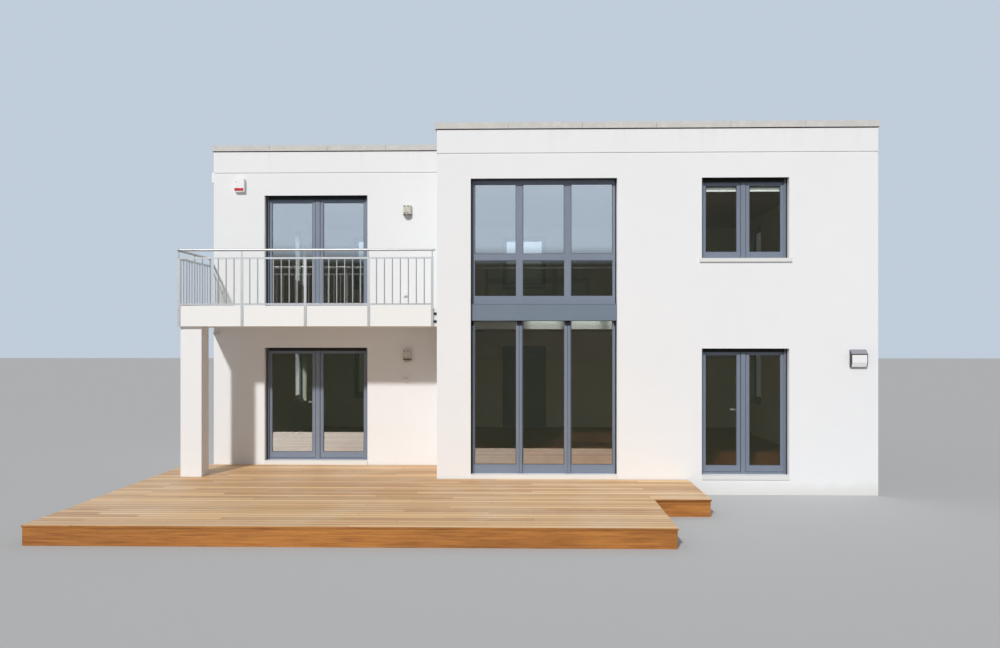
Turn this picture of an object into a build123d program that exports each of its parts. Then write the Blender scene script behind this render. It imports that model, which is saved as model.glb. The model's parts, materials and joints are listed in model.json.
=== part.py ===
"""Two-storey detached house with a flat roof, a set-back wing under a balcony and a timber deck.

Millimetres, +Z up. The garden front faces -Y. The origin lies on level ground under the
middle of the house: X is measured from the middle of its width, Y from the middle of its depth.
"""

from build123d import *
import math
import os

os.makedirs("parts", exist_ok=True)

# Plan of the house
house_width = 12060
main_width = 7570
main_depth = 9000
setback = 1730
wall_thickness = 365

# Levels above the ground
floor_level = 340
storey_height = 2940
upper_floor_thickness = 380
wall_top = 6318
roof_underside = 5680
roof_slab_thickness = 250
roof_covering_thickness = 110
groove_level = 5876
groove_height = 28
groove_depth = 16

# Coping stones on the parapet
coping_height = 107
coping_fall = 14
coping_overhang = 30
coping_stone_length = 1300
coping_joint = 4
drip_width = 8
drip_inset = 10

# Openings in the walls, each measured from the left end of its wall
head_height = 2180
sill_height = 762
big_window_offset = 585
big_window_width = 2530
garden_door_offset = 4566
garden_door_width = 1492
wing_door_offset = 989
wing_door_width = 1996
rear_window_width = 1160

# Frames, leaves and glass
reveal_depth = 160
frame_depth = 70
jamb_width = 34
head_jamb_width = 50
mullion_width = 80
stile_width = 62
bottom_rail_width = 110
weather_rail_height = 55
leaf_setback = 12
bead_width = 9
bead_depth = 9
glass_thickness = 24
glass_inset = 20
hinge_gap = 6
meeting_gap = 9

# Hinges and handles of the doors that open
hinge_barrel_radius = 7
hinge_barrel_length = 44
hinge_axis_inset = 8
hinge_flap_thickness = 3
hinge_flap_width = 26
hinge_end_distance = 220
hinge_running_gap = 0.3
handle_height = 1115
handle_plate_width = 30
handle_plate_height = 170
handle_plate_thickness = 9
handle_neck_radius = 9
handle_neck_length = 42
handle_lever_length = 125
handle_lever_height = 20
handle_lever_thickness = 12

# Large window over both storeys
big_side_width = 66
big_head_width = 77
big_mullion_width = 123
big_transom_width = 123
big_transom_height = 770
big_upper_sill = 156
big_lower_sill = 155
panel_height = 293
panel_top_rise = 17
panel_depth = 70
panel_groove_width = 5
panel_flange_height = 12
panel_flange_depth = 6

# Roller shutters: guide rails, parked end bars, inlet blocks and the cover under the large lintel
guide_width = 44
guide_depth = 36
guide_slot_width = 14
guide_slot_depth = 22
shutter_bar_height = 62
shutter_bar_depth = 16
shutter_bar_gap = 4
inlet_height = 88
soffit_cover_thickness = 10
soffit_cover_setback = 6

# Window sills and door thresholds
sill_overhang = 38
sill_side_overhang = 36
sill_thickness = 30
sill_lip = 62
threshold_height = 74
threshold_overhang = 20

# Balcony
balcony_front_inset = 72
balcony_side_overhang = 38
balcony_underside = 2906
balcony_slab_thickness = 314
fascia_height = 359
fascia_thickness = 20
fascia_joint = 6
pillar_width = 372
pillar_depth = 360
pillar_setback = 58
railing_wall_gap = 63
post_width = 45
post_thickness = 12
front_bays = 4
side_bays = 2
front_bars = 7
side_bars = 5
bar_radius = 10
lower_rail_level = 3292
second_rail_level = 4095
rail_height = 32
rail_depth = 12
handrail_level = 4238
handrail_radius = 21
pin_radius = 7
handrail_wall_gap = 37
handrail_bend_radius = 60

# Gallery behind the large window
gallery_distance = 3300
void_side_margin = 350
gallery_rail_height = 878
gallery_rail_radius = 21
gallery_glass_thickness = 17
gallery_glass_drop = 220
gallery_panels = 3
gallery_panel_gap = 12
gallery_fixing_distance = 240
gallery_fixing_radius = 25
gallery_fixing_length = 30

# Fittings on the walls
lamp_width = 150
lamp_height = 240
lamp_depth = 95
lamp_edge_radius = 40
lamp_off_pier_middle = 25
lower_lamp_level = 2360
upper_lamp_level = 5134
alarm_width = 207
alarm_height = 268
alarm_depth = 85
alarm_from_left = 516
alarm_level = 5656
alarm_corner = 30
alarm_taper = 4
number_width = 280
number_height = 221
number_lid_height = 78
number_depth = 92
number_foot_depth = 58
number_bend_height = 78
number_from_right = 347
number_level = 2314
socket_size = 82
socket_depth = 34
socket_off_pier_middle = -10
upper_socket_level = 3545
lower_socket_level = 1898
side_light_width = 190
side_light_height = 200
side_light_depth = 95
side_light_from_corner = 260
side_light_level = 5840
spot_radius = 42
spot_length = 88
spot_level = 2800
spot_from_left = 62

# Timber deck
deck_level = 265
deck_board_thickness = 26
deck_front_distance = 4066
deck_left_margin = 518
deck_front_width = 8470
deck_strip_depth = 1945
deck_strip_length = 863
deck_overhang = 12
deck_skirt_thickness = 24
deck_skirt_joint = 3
deck_joist_width = 60
deck_joist_spacing = 620
deck_clearance = 5

# Places worked out from the sizes above
left = -house_width / 2
right = house_width / 2
step = right - main_width
front = -main_depth / 2
back = main_depth / 2
wing_front = front + setback
upper_level = floor_level + storey_height
lower_head = floor_level + head_height
upper_head = upper_level + head_height
upper_floor_underside = upper_level - upper_floor_thickness
leaf_thickness = frame_depth - leaf_setback
leaf_depth = reveal_depth + leaf_setback
glass_depth = leaf_depth + glass_inset

# Wall faces as planes that look outwards, with local x to the right and local y up
front_face = Plane(origin=(step, front, 0), x_dir=(1, 0, 0), z_dir=(0, -1, 0))
wing_face = Plane(origin=(left, wing_front, 0), x_dir=(1, 0, 0), z_dir=(0, -1, 0))
right_face = Plane(origin=(right, front, 0), x_dir=(0, 1, 0), z_dir=(1, 0, 0))
left_face = Plane(origin=(left, back, 0), x_dir=(0, -1, 0), z_dir=(-1, 0, 0))
back_face = Plane(origin=(right, back, 0), x_dir=(-1, 0, 0), z_dir=(0, 1, 0))

# Openings as (low, high) pairs along the wall and in height
big_window_x = (big_window_offset, big_window_offset + big_window_width)
garden_door_x = (garden_door_offset, garden_door_offset + garden_door_width)
wing_door_x = (wing_door_offset, wing_door_offset + wing_door_width)
lower_door_z = (floor_level, lower_head)
upper_door_z = (upper_level, upper_head)
lower_window_z = (floor_level + sill_height, lower_head)
upper_window_z = (upper_level + sill_height, upper_head)
both_storeys_z = (floor_level, upper_head)


def centred(middle, width):
    """The (low, high) pair of a width about its middle."""
    return (middle - width / 2, middle + width / 2)


def shrunk(pair, low, high):
    """A (low, high) pair drawn in at each end."""
    return (pair[0] + low, pair[1] - high)


def rear_window_middles(wall_length, count):
    """Middles of windows spread evenly along a wall."""
    return [wall_length * (index + 0.5) / count for index in range(count)]


def save(piece, name):
    """Name the finished piece and write it to its file."""
    piece.part.label = name
    export_step(piece.part, f"parts/{name}.step")


def is_level(edge):
    """True for a straight edge that lies level."""
    return edge.geom_type == GeomType.LINE and abs((edge % 0).Z) < 0.5


def block(x, y, z, mode=Mode.ADD):
    """A straight block in the open part, from three (low, high) pairs."""
    with BuildSketch(Plane.XY.offset(z[0])) as base:
        with Locations((sum(x) / 2, sum(y) / 2)):
            Rectangle(x[1] - x[0], y[1] - y[0])
    extrude(to_extrude=base.sketch, amount=z[1] - z[0], mode=mode)


def plate(face, depth, x, z, thickness, mode=Mode.ADD):
    """A straight block behind a wall face: local x and height pairs, and its depth in the wall."""
    with BuildSketch(face.offset(-depth)) as base:
        with Locations((sum(x) / 2, sum(z) / 2)):
            Rectangle(x[1] - x[0], z[1] - z[0])
    extrude(to_extrude=base.sketch, amount=-thickness, mode=mode)


def outline_points(inset):
    """Corners of the house's plan, drawn in from its outer wall faces."""
    return [
        (left + inset, back - inset),
        (left + inset, wing_front + inset),
        (step + inset, wing_front + inset),
        (step + inset, front + inset),
        (right - inset, front + inset),
        (right - inset, back - inset),
    ]


def plan_slab(inset, z):
    """A slab of the house's plan shape in the open part."""
    with BuildSketch(Plane.XY.offset(z[0])) as plan:
        with BuildLine():
            Polyline(outline_points(inset), close=True)
        make_face()
    extrude(to_extrude=plan.sketch, amount=z[1] - z[0])


def cut_groove():
    """Cut the shadow groove that runs round the house out of the open part."""
    with BuildSketch(Plane.XY.offset(groove_level)) as ring:
        with BuildLine():
            Polyline(outline_points(-groove_depth), close=True)
        make_face()
        with BuildLine():
            Polyline(outline_points(groove_depth), close=True)
        make_face(mode=Mode.SUBTRACT)
    extrude(to_extrude=ring.sketch, amount=groove_height, mode=Mode.SUBTRACT)


def between(ends, openings):
    """The (low, high) pairs that are left of a stretch beside and between its openings."""
    edges = [ends[0]] + [edge for opening in openings for edge in opening] + [ends[1]]
    return list(zip(edges[::2], edges[1::2]))


def build_wall(name, face, ends, columns):
    """One outer wall: its piers, and the panels under, between and over its openings.

    Each column is a width pair with the height pairs of the openings that stand above each other.
    """
    with BuildPart() as piers:
        for x in between(ends, [column for column, rows in columns]):
            plate(face, 0, x, (0, wall_top), wall_thickness)
        cut_groove()
    save(piers, f"{name}_piers")
    with BuildPart() as panels:
        for x, rows in columns:
            for z in between((0, wall_top), rows):
                plate(face, 0, x, z, wall_thickness)
        cut_groove()
    save(panels, f"{name}_panels")


# Walls of the garden front
wing_width = house_width - main_width
front_columns = (
    (big_window_x, (both_storeys_z,)),
    (garden_door_x, (lower_door_z, upper_window_z)),
)
build_wall("front_wall", front_face, (0, main_width), front_columns)
build_wall("wing_wall", wing_face, (0, wing_width), ((wing_door_x, (lower_door_z, upper_door_z)),))

# Side wall of the main block where the wing is set back
with BuildPart() as recess_wall:
    block(
        (step, step + wall_thickness),
        (front + wall_thickness, wing_front + wall_thickness),
        (0, wall_top),
    )
    cut_groove()
save(recess_wall, "recess_wall")

# Side and back walls, with a window row on each storey
wing_depth = back - wing_front
right_window_middles = rear_window_middles(main_depth, 2)
left_window_middles = rear_window_middles(wing_depth, 2)
back_window_middles = rear_window_middles(house_width, 3)
rear_door_x = centred(back_window_middles[1], rear_window_width)
window_rows = (lower_window_z, upper_window_z)
right_columns = [(centred(middle, rear_window_width), window_rows) for middle in right_window_middles]
left_columns = [(centred(middle, rear_window_width), window_rows) for middle in left_window_middles]
build_wall("right_wall", right_face, (wall_thickness, main_depth - wall_thickness), right_columns)
build_wall("left_wall", left_face, (wall_thickness, wing_depth - wall_thickness), left_columns)
back_columns = [(centred(middle, rear_window_width), window_rows) for middle in back_window_middles]
back_columns[1] = (rear_door_x, (lower_door_z, upper_window_z))
build_wall("back_wall", back_face, (0, house_width), back_columns)

# Floors and roof inside the walls
with BuildPart() as ground_floor:
    plan_slab(wall_thickness, (0, floor_level))
save(ground_floor, "ground_floor")

void_x = (step + wall_thickness, step + big_window_x[1] + void_side_margin)
void_y = (front + wall_thickness, front + gallery_distance)
with BuildPart() as upper_floor:
    plan_slab(wall_thickness, (upper_floor_underside, upper_level))
    block(void_x, void_y, (upper_floor_underside, upper_level), Mode.SUBTRACT)
save(upper_floor, "upper_floor")

roof_slab_top = roof_underside + roof_slab_thickness
with BuildPart() as roof_slab:
    plan_slab(wall_thickness, (roof_underside, roof_slab_top))
save(roof_slab, "roof_slab")

with BuildPart() as roof_covering:
    plan_slab(wall_thickness, (roof_slab_top, roof_slab_top + roof_covering_thickness))
save(roof_covering, "roof_covering")


def coping_run(start, along, length):
    """Coping stones laid end to end from a start on the outer wall face, with open joints."""
    inwards = Vector(0, 0, 1).cross(Vector(*along))
    count = math.ceil(length / coping_stone_length)
    pitch = length / count
    run = Plane(origin=(start[0], start[1], wall_top), x_dir=inwards, z_dir=along)
    inner = wall_thickness + coping_overhang
    for index in range(count):
        with BuildSketch(run.offset(index * pitch + coping_joint / 2)) as profile:
            with BuildLine():
                Polyline(
                    (-coping_overhang, 0),
                    (-coping_overhang, coping_height),
                    (inner, coping_height - coping_fall),
                    (inner, 0),
                    close=True,
                )
            make_face()
            for edge in (-coping_overhang + drip_inset, inner - drip_inset):
                with Locations((edge, 0)):
                    Rectangle(drip_width, drip_width, mode=Mode.SUBTRACT)
        extrude(to_extrude=profile.sketch, amount=pitch - coping_joint)


outer = coping_overhang
inner_end = wall_thickness + coping_overhang
with BuildPart() as parapet_coping:
    coping_run((step - outer, front), (1, 0, 0), main_width + 2 * outer)
    coping_run((right, front + inner_end), (0, 1, 0), main_depth - 2 * inner_end)
    coping_run((right + outer, back), (-1, 0, 0), house_width + 2 * outer)
    coping_run((left, back - inner_end), (0, -1, 0), wing_depth - 2 * inner_end)
    coping_run((left - outer, wing_front), (1, 0, 0), wing_width)
    coping_run((step, wing_front + inner_end), (0, -1, 0), setback)
save(parapet_coping, "parapet_coping")


def pane_pairs(opening_x, opening_z, bottom_width):
    """Clear glass areas of a two-leaf window or door in an opening."""
    side = jamb_width + hinge_gap + stile_width
    middle = sum(opening_x) / 2
    centre = mullion_width / 2 + meeting_gap + stile_width
    z = shrunk(opening_z, bottom_width, head_jamb_width + hinge_gap + stile_width)
    return (
        ((opening_x[0] + side, middle - centre), z),
        ((middle + centre, opening_x[1] - side), z),
    )


def leaf_areas(opening_x, opening_z):
    """Room that the frame leaves for its two leaves."""
    middle = sum(opening_x) / 2
    z = shrunk(opening_z, jamb_width, head_jamb_width)
    return (
        ((opening_x[0] + jamb_width, middle - mullion_width / 2), z),
        ((middle + mullion_width / 2, opening_x[1] - jamb_width), z),
    )


def cut_pane(face, depth, x, z, thickness):
    """Cut a glass area through a frame, with the wider step of its glazing bead in front."""
    wide_x = shrunk(x, -bead_width, -bead_width)
    wide_z = shrunk(z, -bead_width, -bead_width)
    plate(face, depth, wide_x, wide_z, bead_depth, Mode.SUBTRACT)
    plate(face, depth, x, z, thickness, Mode.SUBTRACT)


window_bottom_width = jamb_width + hinge_gap + stile_width + weather_rail_height


def fixed_pair(face, opening_x, opening_z, bottom_width):
    """A two-leaf window whose leaves stay shut: frame and leaves as one piece."""
    plate(face, reveal_depth, opening_x, opening_z, frame_depth)
    for x, z in leaf_areas(opening_x, opening_z):
        plate(face, reveal_depth, x, z, leaf_setback, Mode.SUBTRACT)
    for x, z in pane_pairs(opening_x, opening_z, bottom_width):
        cut_pane(face, leaf_depth, x, z, leaf_thickness)


def fixed_pair_glass(face, opening_x, opening_z, bottom_width):
    """Glass panes of such a window."""
    for x, z in pane_pairs(opening_x, opening_z, bottom_width):
        plate(face, glass_depth, x, z, glass_thickness)


# Large window over both storeys, with a closed band at the upper floor
big_clear = shrunk(big_window_x, big_side_width, big_side_width)
big_pane_width = (big_clear[1] - big_clear[0] - 2 * big_mullion_width) / 3
big_pane_x = [
    (big_clear[0] + index * (big_pane_width + big_mullion_width),
     big_clear[0] + index * (big_pane_width + big_mullion_width) + big_pane_width)
    for index in range(3)
]
panel_z = (upper_level + panel_top_rise - panel_height, upper_level + panel_top_rise)
transom_z = (upper_level + big_transom_height, upper_level + big_transom_height + big_transom_width)
big_rows = (
    (floor_level + big_lower_sill, panel_z[0]),
    (upper_level + big_upper_sill, transom_z[0]),
    (transom_z[1], upper_head - big_head_width),
)
with BuildPart() as big_window_frame:
    plate(front_face, reveal_depth, big_window_x, both_storeys_z, frame_depth)
    for x in big_pane_x:
        for row in big_rows:
            cut_pane(front_face, reveal_depth, x, row, frame_depth)
save(big_window_frame, "big_window_frame")

# Closed band that houses the rolled-up shutters, with a thin flange along its top and bottom
with BuildPart() as big_window_panel:
    panel_x = shrunk(big_window_x, panel_groove_width, panel_groove_width)
    plate(front_face, reveal_depth - panel_depth, panel_x, panel_z, panel_depth)
    for z in (
        (panel_z[0], panel_z[0] + panel_flange_height),
        (panel_z[1] - panel_flange_height, panel_z[1]),
    ):
        plate(front_face, reveal_depth - panel_depth - panel_flange_depth, panel_x, z, panel_flange_depth)
save(big_window_panel, "big_window_panel")

with BuildPart() as upper_window_frame:
    fixed_pair(front_face, garden_door_x, upper_window_z, window_bottom_width)
save(upper_window_frame, "upper_window_frame")

with BuildPart() as balcony_door_frame:
    fixed_pair(wing_face, wing_door_x, upper_door_z, bottom_rail_width)
save(balcony_door_frame, "balcony_door_frame")

with BuildPart() as front_glass:
    for x in big_pane_x:
        for row in big_rows:
            plate(front_face, reveal_depth + glass_inset, x, row, glass_thickness)
    fixed_pair_glass(front_face, garden_door_x, upper_window_z, window_bottom_width)
    fixed_pair_glass(wing_face, wing_door_x, upper_door_z, bottom_rail_width)
save(front_glass, "front_glass")


def single_pane(opening_x, opening_z):
    """Clear glass area of a one-leaf window."""
    side = jamb_width + hinge_gap + stile_width
    head = head_jamb_width + hinge_gap + stile_width
    return (shrunk(opening_x, side, side), shrunk(opening_z, window_bottom_width, head))


def rear_openings():
    """Face, width pair and height pair of each window in the side and back walls."""
    for face, middles in ((right_face, right_window_middles), (left_face, left_window_middles)):
        for middle in middles:
            for row in window_rows:
                yield face, centred(middle, rear_window_width), row
    for index, middle in enumerate(back_window_middles):
        yield back_face, centred(middle, rear_window_width), upper_window_z
        if index != 1:
            yield back_face, centred(middle, rear_window_width), lower_window_z


with BuildPart() as rear_window_frames:
    for face, x, z in rear_openings():
        plate(face, reveal_depth, x, z, frame_depth)
        leaf_x = shrunk(x, jamb_width, jamb_width)
        leaf_z = shrunk(z, jamb_width, head_jamb_width)
        plate(face, reveal_depth, leaf_x, leaf_z, leaf_setback, Mode.SUBTRACT)
        pane_x, pane_z = single_pane(x, z)
        cut_pane(face, leaf_depth, pane_x, pane_z, leaf_thickness)
save(rear_window_frames, "rear_window_frames")

with BuildPart() as rear_window_glass:
    for face, x, z in rear_openings():
        pane_x, pane_z = single_pane(x, z)
        plate(face, glass_depth, pane_x, pane_z, glass_thickness)
save(rear_window_glass, "rear_window_glass")

# Plain entrance door in the back wall
with BuildPart() as entrance_door:
    plate(back_face, reveal_depth, rear_door_x, lower_door_z, frame_depth)
    door_leaf_x = shrunk(rear_door_x, jamb_width + stile_width, jamb_width + stile_width)
    door_leaf_z = shrunk(lower_door_z, bottom_rail_width, head_jamb_width + stile_width)
    plate(back_face, reveal_depth, door_leaf_x, door_leaf_z, leaf_setback, Mode.SUBTRACT)
save(entrance_door, "entrance_door")


def door_frame(face, opening_x):
    """Fixed frame of a pair of inward-opening doors, with the lower knuckles of their hinges."""
    plate(face, reveal_depth, opening_x, lower_door_z, frame_depth)
    for x, z in leaf_areas(opening_x, lower_door_z):
        plate(face, reveal_depth, x, z, frame_depth, Mode.SUBTRACT)
    for side in (-1, 1):
        for level in hinge_levels():
            hinge_half(face, opening_x, side, level - hinge_barrel_length - hinge_running_gap, side)


def hinge_levels():
    """Heights of the joints between the upper and lower knuckles."""
    low = floor_level + hinge_end_distance
    high = lower_head - hinge_end_distance
    return (low, (low + high) / 2, high)


def hinge_x(opening_x, side):
    """Local x of a hinge axis: side -1 is the left leaf, side 1 the right one."""
    edge = opening_x[0] if side < 0 else opening_x[1]
    return edge - side * (jamb_width + hinge_gap / 2)


def hinge_half(face, opening_x, side, level, towards):
    """One knuckle of a hinge and the flap that joins it to the leaf or to the frame."""
    axis_x = hinge_x(opening_x, side)
    inner = reveal_depth + frame_depth
    axis = face.offset(-inner - hinge_axis_inset).from_local_coords((axis_x, level, 0))
    with BuildSketch(Plane.XY.offset(level)) as knuckle:
        with Locations((axis.X, axis.Y)):
            Circle(hinge_barrel_radius)
    extrude(to_extrude=knuckle.sketch, amount=hinge_barrel_length)
    flap_x = (axis_x, axis_x + towards * hinge_flap_width)
    plate(
        face,
        inner,
        (min(flap_x), max(flap_x)),
        (level, level + hinge_barrel_length),
        hinge_flap_thickness,
    )


def leaf_x(opening_x, side):
    """Width pair of one leaf, clear of the jamb and of the middle post."""
    area = leaf_areas(opening_x, lower_door_z)[0 if side < 0 else 1][0]
    if side < 0:
        return shrunk(area, hinge_gap, meeting_gap)
    return shrunk(area, meeting_gap, hinge_gap)


leaf_z = shrunk(lower_door_z, jamb_width + hinge_gap, head_jamb_width + hinge_gap)


def leaf_pane(opening_x, side):
    """Clear glass area of one opening leaf."""
    x = shrunk(leaf_x(opening_x, side), stile_width, stile_width)
    return x, shrunk(leaf_z, bottom_rail_width, stile_width)


def door_leaf(face, opening_x, side):
    """One opening leaf with the upper knuckles of its hinges."""
    plate(face, leaf_depth, leaf_x(opening_x, side), leaf_z, leaf_thickness)
    cut_pane(face, leaf_depth, *leaf_pane(opening_x, side), leaf_thickness)
    for level in hinge_levels():
        hinge_half(face, opening_x, side, level, -side)


def door_handle(face, opening_x, side):
    """Back plate and lever on the room side."""
    free_edge = leaf_x(opening_x, side)[1 if side < 0 else 0]
    plate_x = centred(free_edge + side * stile_width / 2, handle_plate_width)
    level = floor_level + handle_height
    plate_z = centred(level, handle_plate_height)
    inner = leaf_depth + leaf_thickness
    plate(face, inner, plate_x, plate_z, handle_plate_thickness)
    neck = face.offset(-inner - handle_plate_thickness)
    with BuildSketch(neck) as neck_section:
        with Locations((sum(plate_x) / 2, level)):
            Circle(handle_neck_radius)
    extrude(to_extrude=neck_section.sketch, amount=-handle_neck_length)
    grip_end = sum(plate_x) / 2 + side * handle_lever_length
    grip_x = (sum(plate_x) / 2 - side * handle_neck_radius, grip_end)
    plate(
        face,
        inner + handle_plate_thickness + handle_neck_length,
        (min(grip_x), max(grip_x)),
        centred(level, handle_lever_height),
        handle_lever_thickness,
    )


# The two pairs of ground-floor doors that open
door_pairs = (
    ("garden_door", front_face, garden_door_x),
    ("terrace_door", wing_face, wing_door_x),
)
for name, face, opening_x in door_pairs:
    with BuildPart() as frame:
        door_frame(face, opening_x)
    save(frame, f"{name}_frame")
    for side, side_name in ((-1, "left"), (1, "right")):
        with BuildPart() as leaf:
            door_leaf(face, opening_x, side)
        save(leaf, f"{name}_{side_name}_leaf")
        with BuildPart() as pane:
            plate(face, glass_depth, *leaf_pane(opening_x, side), glass_thickness)
        save(pane, f"{name}_{side_name}_glass")
    with BuildPart() as handles:
        door_handle(face, opening_x, -1)
    save(handles, f"{name}_handles")

# Roller shutter guide rails, one on each side of an opening and before each post of the window
shutter_openings = (
    (front_face, garden_door_x, lower_door_z),
    (front_face, garden_door_x, shrunk(upper_window_z, sill_thickness, 0)),
    (wing_face, wing_door_x, lower_door_z),
    (wing_face, wing_door_x, upper_door_z),
)


def guide(face, x, z):
    """A guide rail before the frame, with the slot that its shutter runs in."""
    depth = reveal_depth - guide_depth
    plate(face, depth, x, z, guide_depth)
    slot = centred(sum(x) / 2, guide_slot_width)
    plate(face, depth, slot, z, guide_slot_depth, Mode.SUBTRACT)


with BuildPart() as shutter_guides:
    for face, x, z in shutter_openings:
        guide(face, (x[0], x[0] + guide_width), z)
        guide(face, (x[1] - guide_width, x[1]), z)
    lower_big_z = (floor_level, panel_z[0] - inlet_height)
    guide(front_face, (big_window_x[0], big_window_x[0] + guide_width), lower_big_z)
    guide(front_face, (big_window_x[1] - guide_width, big_window_x[1]), lower_big_z)
    for x in (big_pane_x[0][1], big_pane_x[1][1]):
        guide(front_face, centred(x + big_mullion_width / 2, 2 * guide_width), lower_big_z)
save(shutter_guides, "shutter_guides")

with BuildPart() as shutter_inlets:
    inlet_z = (panel_z[0] - inlet_height, panel_z[0])
    for x in (
        (big_window_x[0], big_window_x[0] + guide_width),
        (big_window_x[1] - guide_width, big_window_x[1]),
        centred(big_pane_x[0][1] + big_mullion_width / 2, 2 * guide_width),
        centred(big_pane_x[1][1] + big_mullion_width / 2, 2 * guide_width),
    ):
        plate(front_face, reveal_depth - guide_depth, x, inlet_z, guide_depth)
save(shutter_inlets, "shutter_inlets")

with BuildPart() as shutter_end_bars:
    for face, x, z in shutter_openings:
        bar_x = shrunk(x, guide_width + shutter_bar_gap, guide_width + shutter_bar_gap)
        bar_z = (z[1] - shutter_bar_height, z[1])
        plate(face, reveal_depth - guide_depth, bar_x, bar_z, shutter_bar_depth)
    cover_x = shrunk(big_window_x, soffit_cover_setback, soffit_cover_setback)
    cover_z = (upper_head - soffit_cover_thickness, upper_head)
    cover_depth = reveal_depth - soffit_cover_setback
    plate(front_face, soffit_cover_setback, cover_x, cover_z, cover_depth)
save(shutter_end_bars, "shutter_end_bars")


def sill(face, x, level):
    """A sloping metal sill before a window, with a turned-down front lip."""
    length = shrunk(x, -sill_side_overhang, -sill_side_overhang)
    plate(face, 0, x, (level, level + sill_thickness), reveal_depth)
    plate(face, -sill_overhang, length, (level - sill_lip + sill_thickness, level + sill_thickness),
          sill_overhang)


with BuildPart() as window_sills:
    sill(front_face, garden_door_x, upper_window_z[0])
    for face, x, z in rear_openings():
        sill(face, x, z[0])
save(window_sills, "window_sills")

with BuildPart() as door_thresholds:
    for face, x, level in (
        (front_face, big_window_x, floor_level),
        (front_face, garden_door_x, floor_level),
        (wing_face, wing_door_x, floor_level),
        (back_face, rear_door_x, floor_level),
    ):
        threshold_z = (level - threshold_height, level)
        plate(face, -threshold_overhang, x, threshold_z, threshold_overhang)
save(door_thresholds, "door_thresholds")

# Balcony on a pillar before the wing
balcony_left = left - balcony_side_overhang
balcony_front = front + balcony_front_inset
with BuildPart() as balcony_slab:
    block(
        (balcony_left, step),
        (balcony_front, wing_front),
        (balcony_underside, balcony_underside + balcony_slab_thickness),
    )
save(balcony_slab, "balcony_slab")

pillar_x = (balcony_left, balcony_left + pillar_width)
pillar_y = (balcony_front + pillar_setback, balcony_front + pillar_setback + pillar_depth)
with BuildPart() as balcony_pillar:
    block(pillar_x, pillar_y, (0, balcony_underside))
save(balcony_pillar, "balcony_pillar")

fascia_front = balcony_front - fascia_thickness
fascia_left = balcony_left - fascia_thickness
front_post_spacing = (step - railing_wall_gap - post_width - fascia_left) / front_bays
front_post_x = [
    fascia_left + post_width / 2 + index * front_post_spacing for index in range(front_bays + 1)
]
side_post_spacing = (wing_front - post_width - fascia_front - post_width / 2) / side_bays
side_post_y = [
    fascia_front + post_width / 2 + index * side_post_spacing for index in range(side_bays + 1)
]
fascia_z = (balcony_underside, balcony_underside + fascia_height)
with BuildPart() as balcony_fascia:
    for index in range(front_bays):
        x = (front_post_x[index], front_post_x[index + 1] - fascia_joint)
        if index == 0:
            x = (fascia_left, x[1])
        block(x, (fascia_front, balcony_front), fascia_z)
    for index in range(side_bays):
        y = (side_post_y[index], side_post_y[index + 1] - fascia_joint)
        if index == 0:
            y = (balcony_front + fascia_joint, y[1])
        block((fascia_left, balcony_left), y, fascia_z)
save(balcony_fascia, "balcony_fascia")


def uprights(points, z, radius):
    """Round upright bars at some points, in the open part."""
    with BuildSketch(Plane.XY.offset(z[0])) as sections:
        with Locations(points):
            Circle(radius)
    extrude(to_extrude=sections.sketch, amount=z[1] - z[0])


def bar_places(starts, spacing, count):
    """Places of the bars between posts that stand a spacing apart."""
    return [start + spacing * (bar + 1) / (count + 1) for start in starts for bar in range(count)]


# Railing: flat posts before the fascia, two flat rails, round bars and a tube on pins
post_z = (balcony_underside, second_rail_level + rail_height / 2)
bar_z = (lower_rail_level, second_rail_level)
pin_z = (second_rail_level, handrail_level)
rail_y = fascia_front - post_thickness / 2
rail_x = fascia_left - post_thickness / 2
front_rail_end = front_post_x[-1] + post_width / 2
handrail_end = step - handrail_wall_gap
handrail_joint_y = rail_y + 2 * handrail_bend_radius
rail_levels = (lower_rail_level, second_rail_level)

with BuildPart() as balcony_front_railing:
    for x in front_post_x:
        block(centred(x, post_width), (fascia_front - post_thickness, fascia_front), post_z)
    for level in rail_levels:
        block(
            (fascia_left, front_rail_end),
            centred(rail_y, rail_depth),
            centred(level, rail_height),
        )
    uprights([(x, rail_y) for x in front_post_x], pin_z, pin_radius)
    bar_x = bar_places(front_post_x[:-1], front_post_spacing, front_bars)
    uprights([(x, rail_y) for x in bar_x], bar_z, bar_radius)
    with BuildLine() as handrail_line:
        FilletPolyline(
            (handrail_end, rail_y, handrail_level),
            (rail_x, rail_y, handrail_level),
            (rail_x, handrail_joint_y, handrail_level),
            radius=handrail_bend_radius,
        )
    with BuildSketch(Plane(origin=handrail_line.line @ 0, z_dir=handrail_line.line % 0)) as tube:
        Circle(handrail_radius)
    sweep(sections=tube.sketch, path=handrail_line.line)
save(balcony_front_railing, "balcony_front_railing")

with BuildPart() as balcony_side_railing:
    for y in side_post_y[1:]:
        block((fascia_left - post_thickness, fascia_left), centred(y, post_width), post_z)
    for level in rail_levels:
        block(
            centred(rail_x, rail_depth),
            (fascia_front + post_width / 2, side_post_y[-1] + post_width / 2),
            centred(level, rail_height),
        )
    uprights([(rail_x, y) for y in side_post_y[1:]], pin_z, pin_radius)
    bar_y = bar_places(side_post_y[:-1], side_post_spacing, side_bars)
    uprights([(rail_x, y) for y in bar_y], bar_z, bar_radius)
    side_rail_plane = Plane(
        origin=(rail_x, handrail_joint_y, handrail_level), x_dir=(-1, 0, 0), z_dir=(0, 1, 0)
    )
    with BuildSketch(side_rail_plane) as side_tube:
        Circle(handrail_radius)
    extrude(to_extrude=side_tube.sketch, amount=wing_front - handrail_joint_y)
save(balcony_side_railing, "balcony_side_railing")

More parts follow.
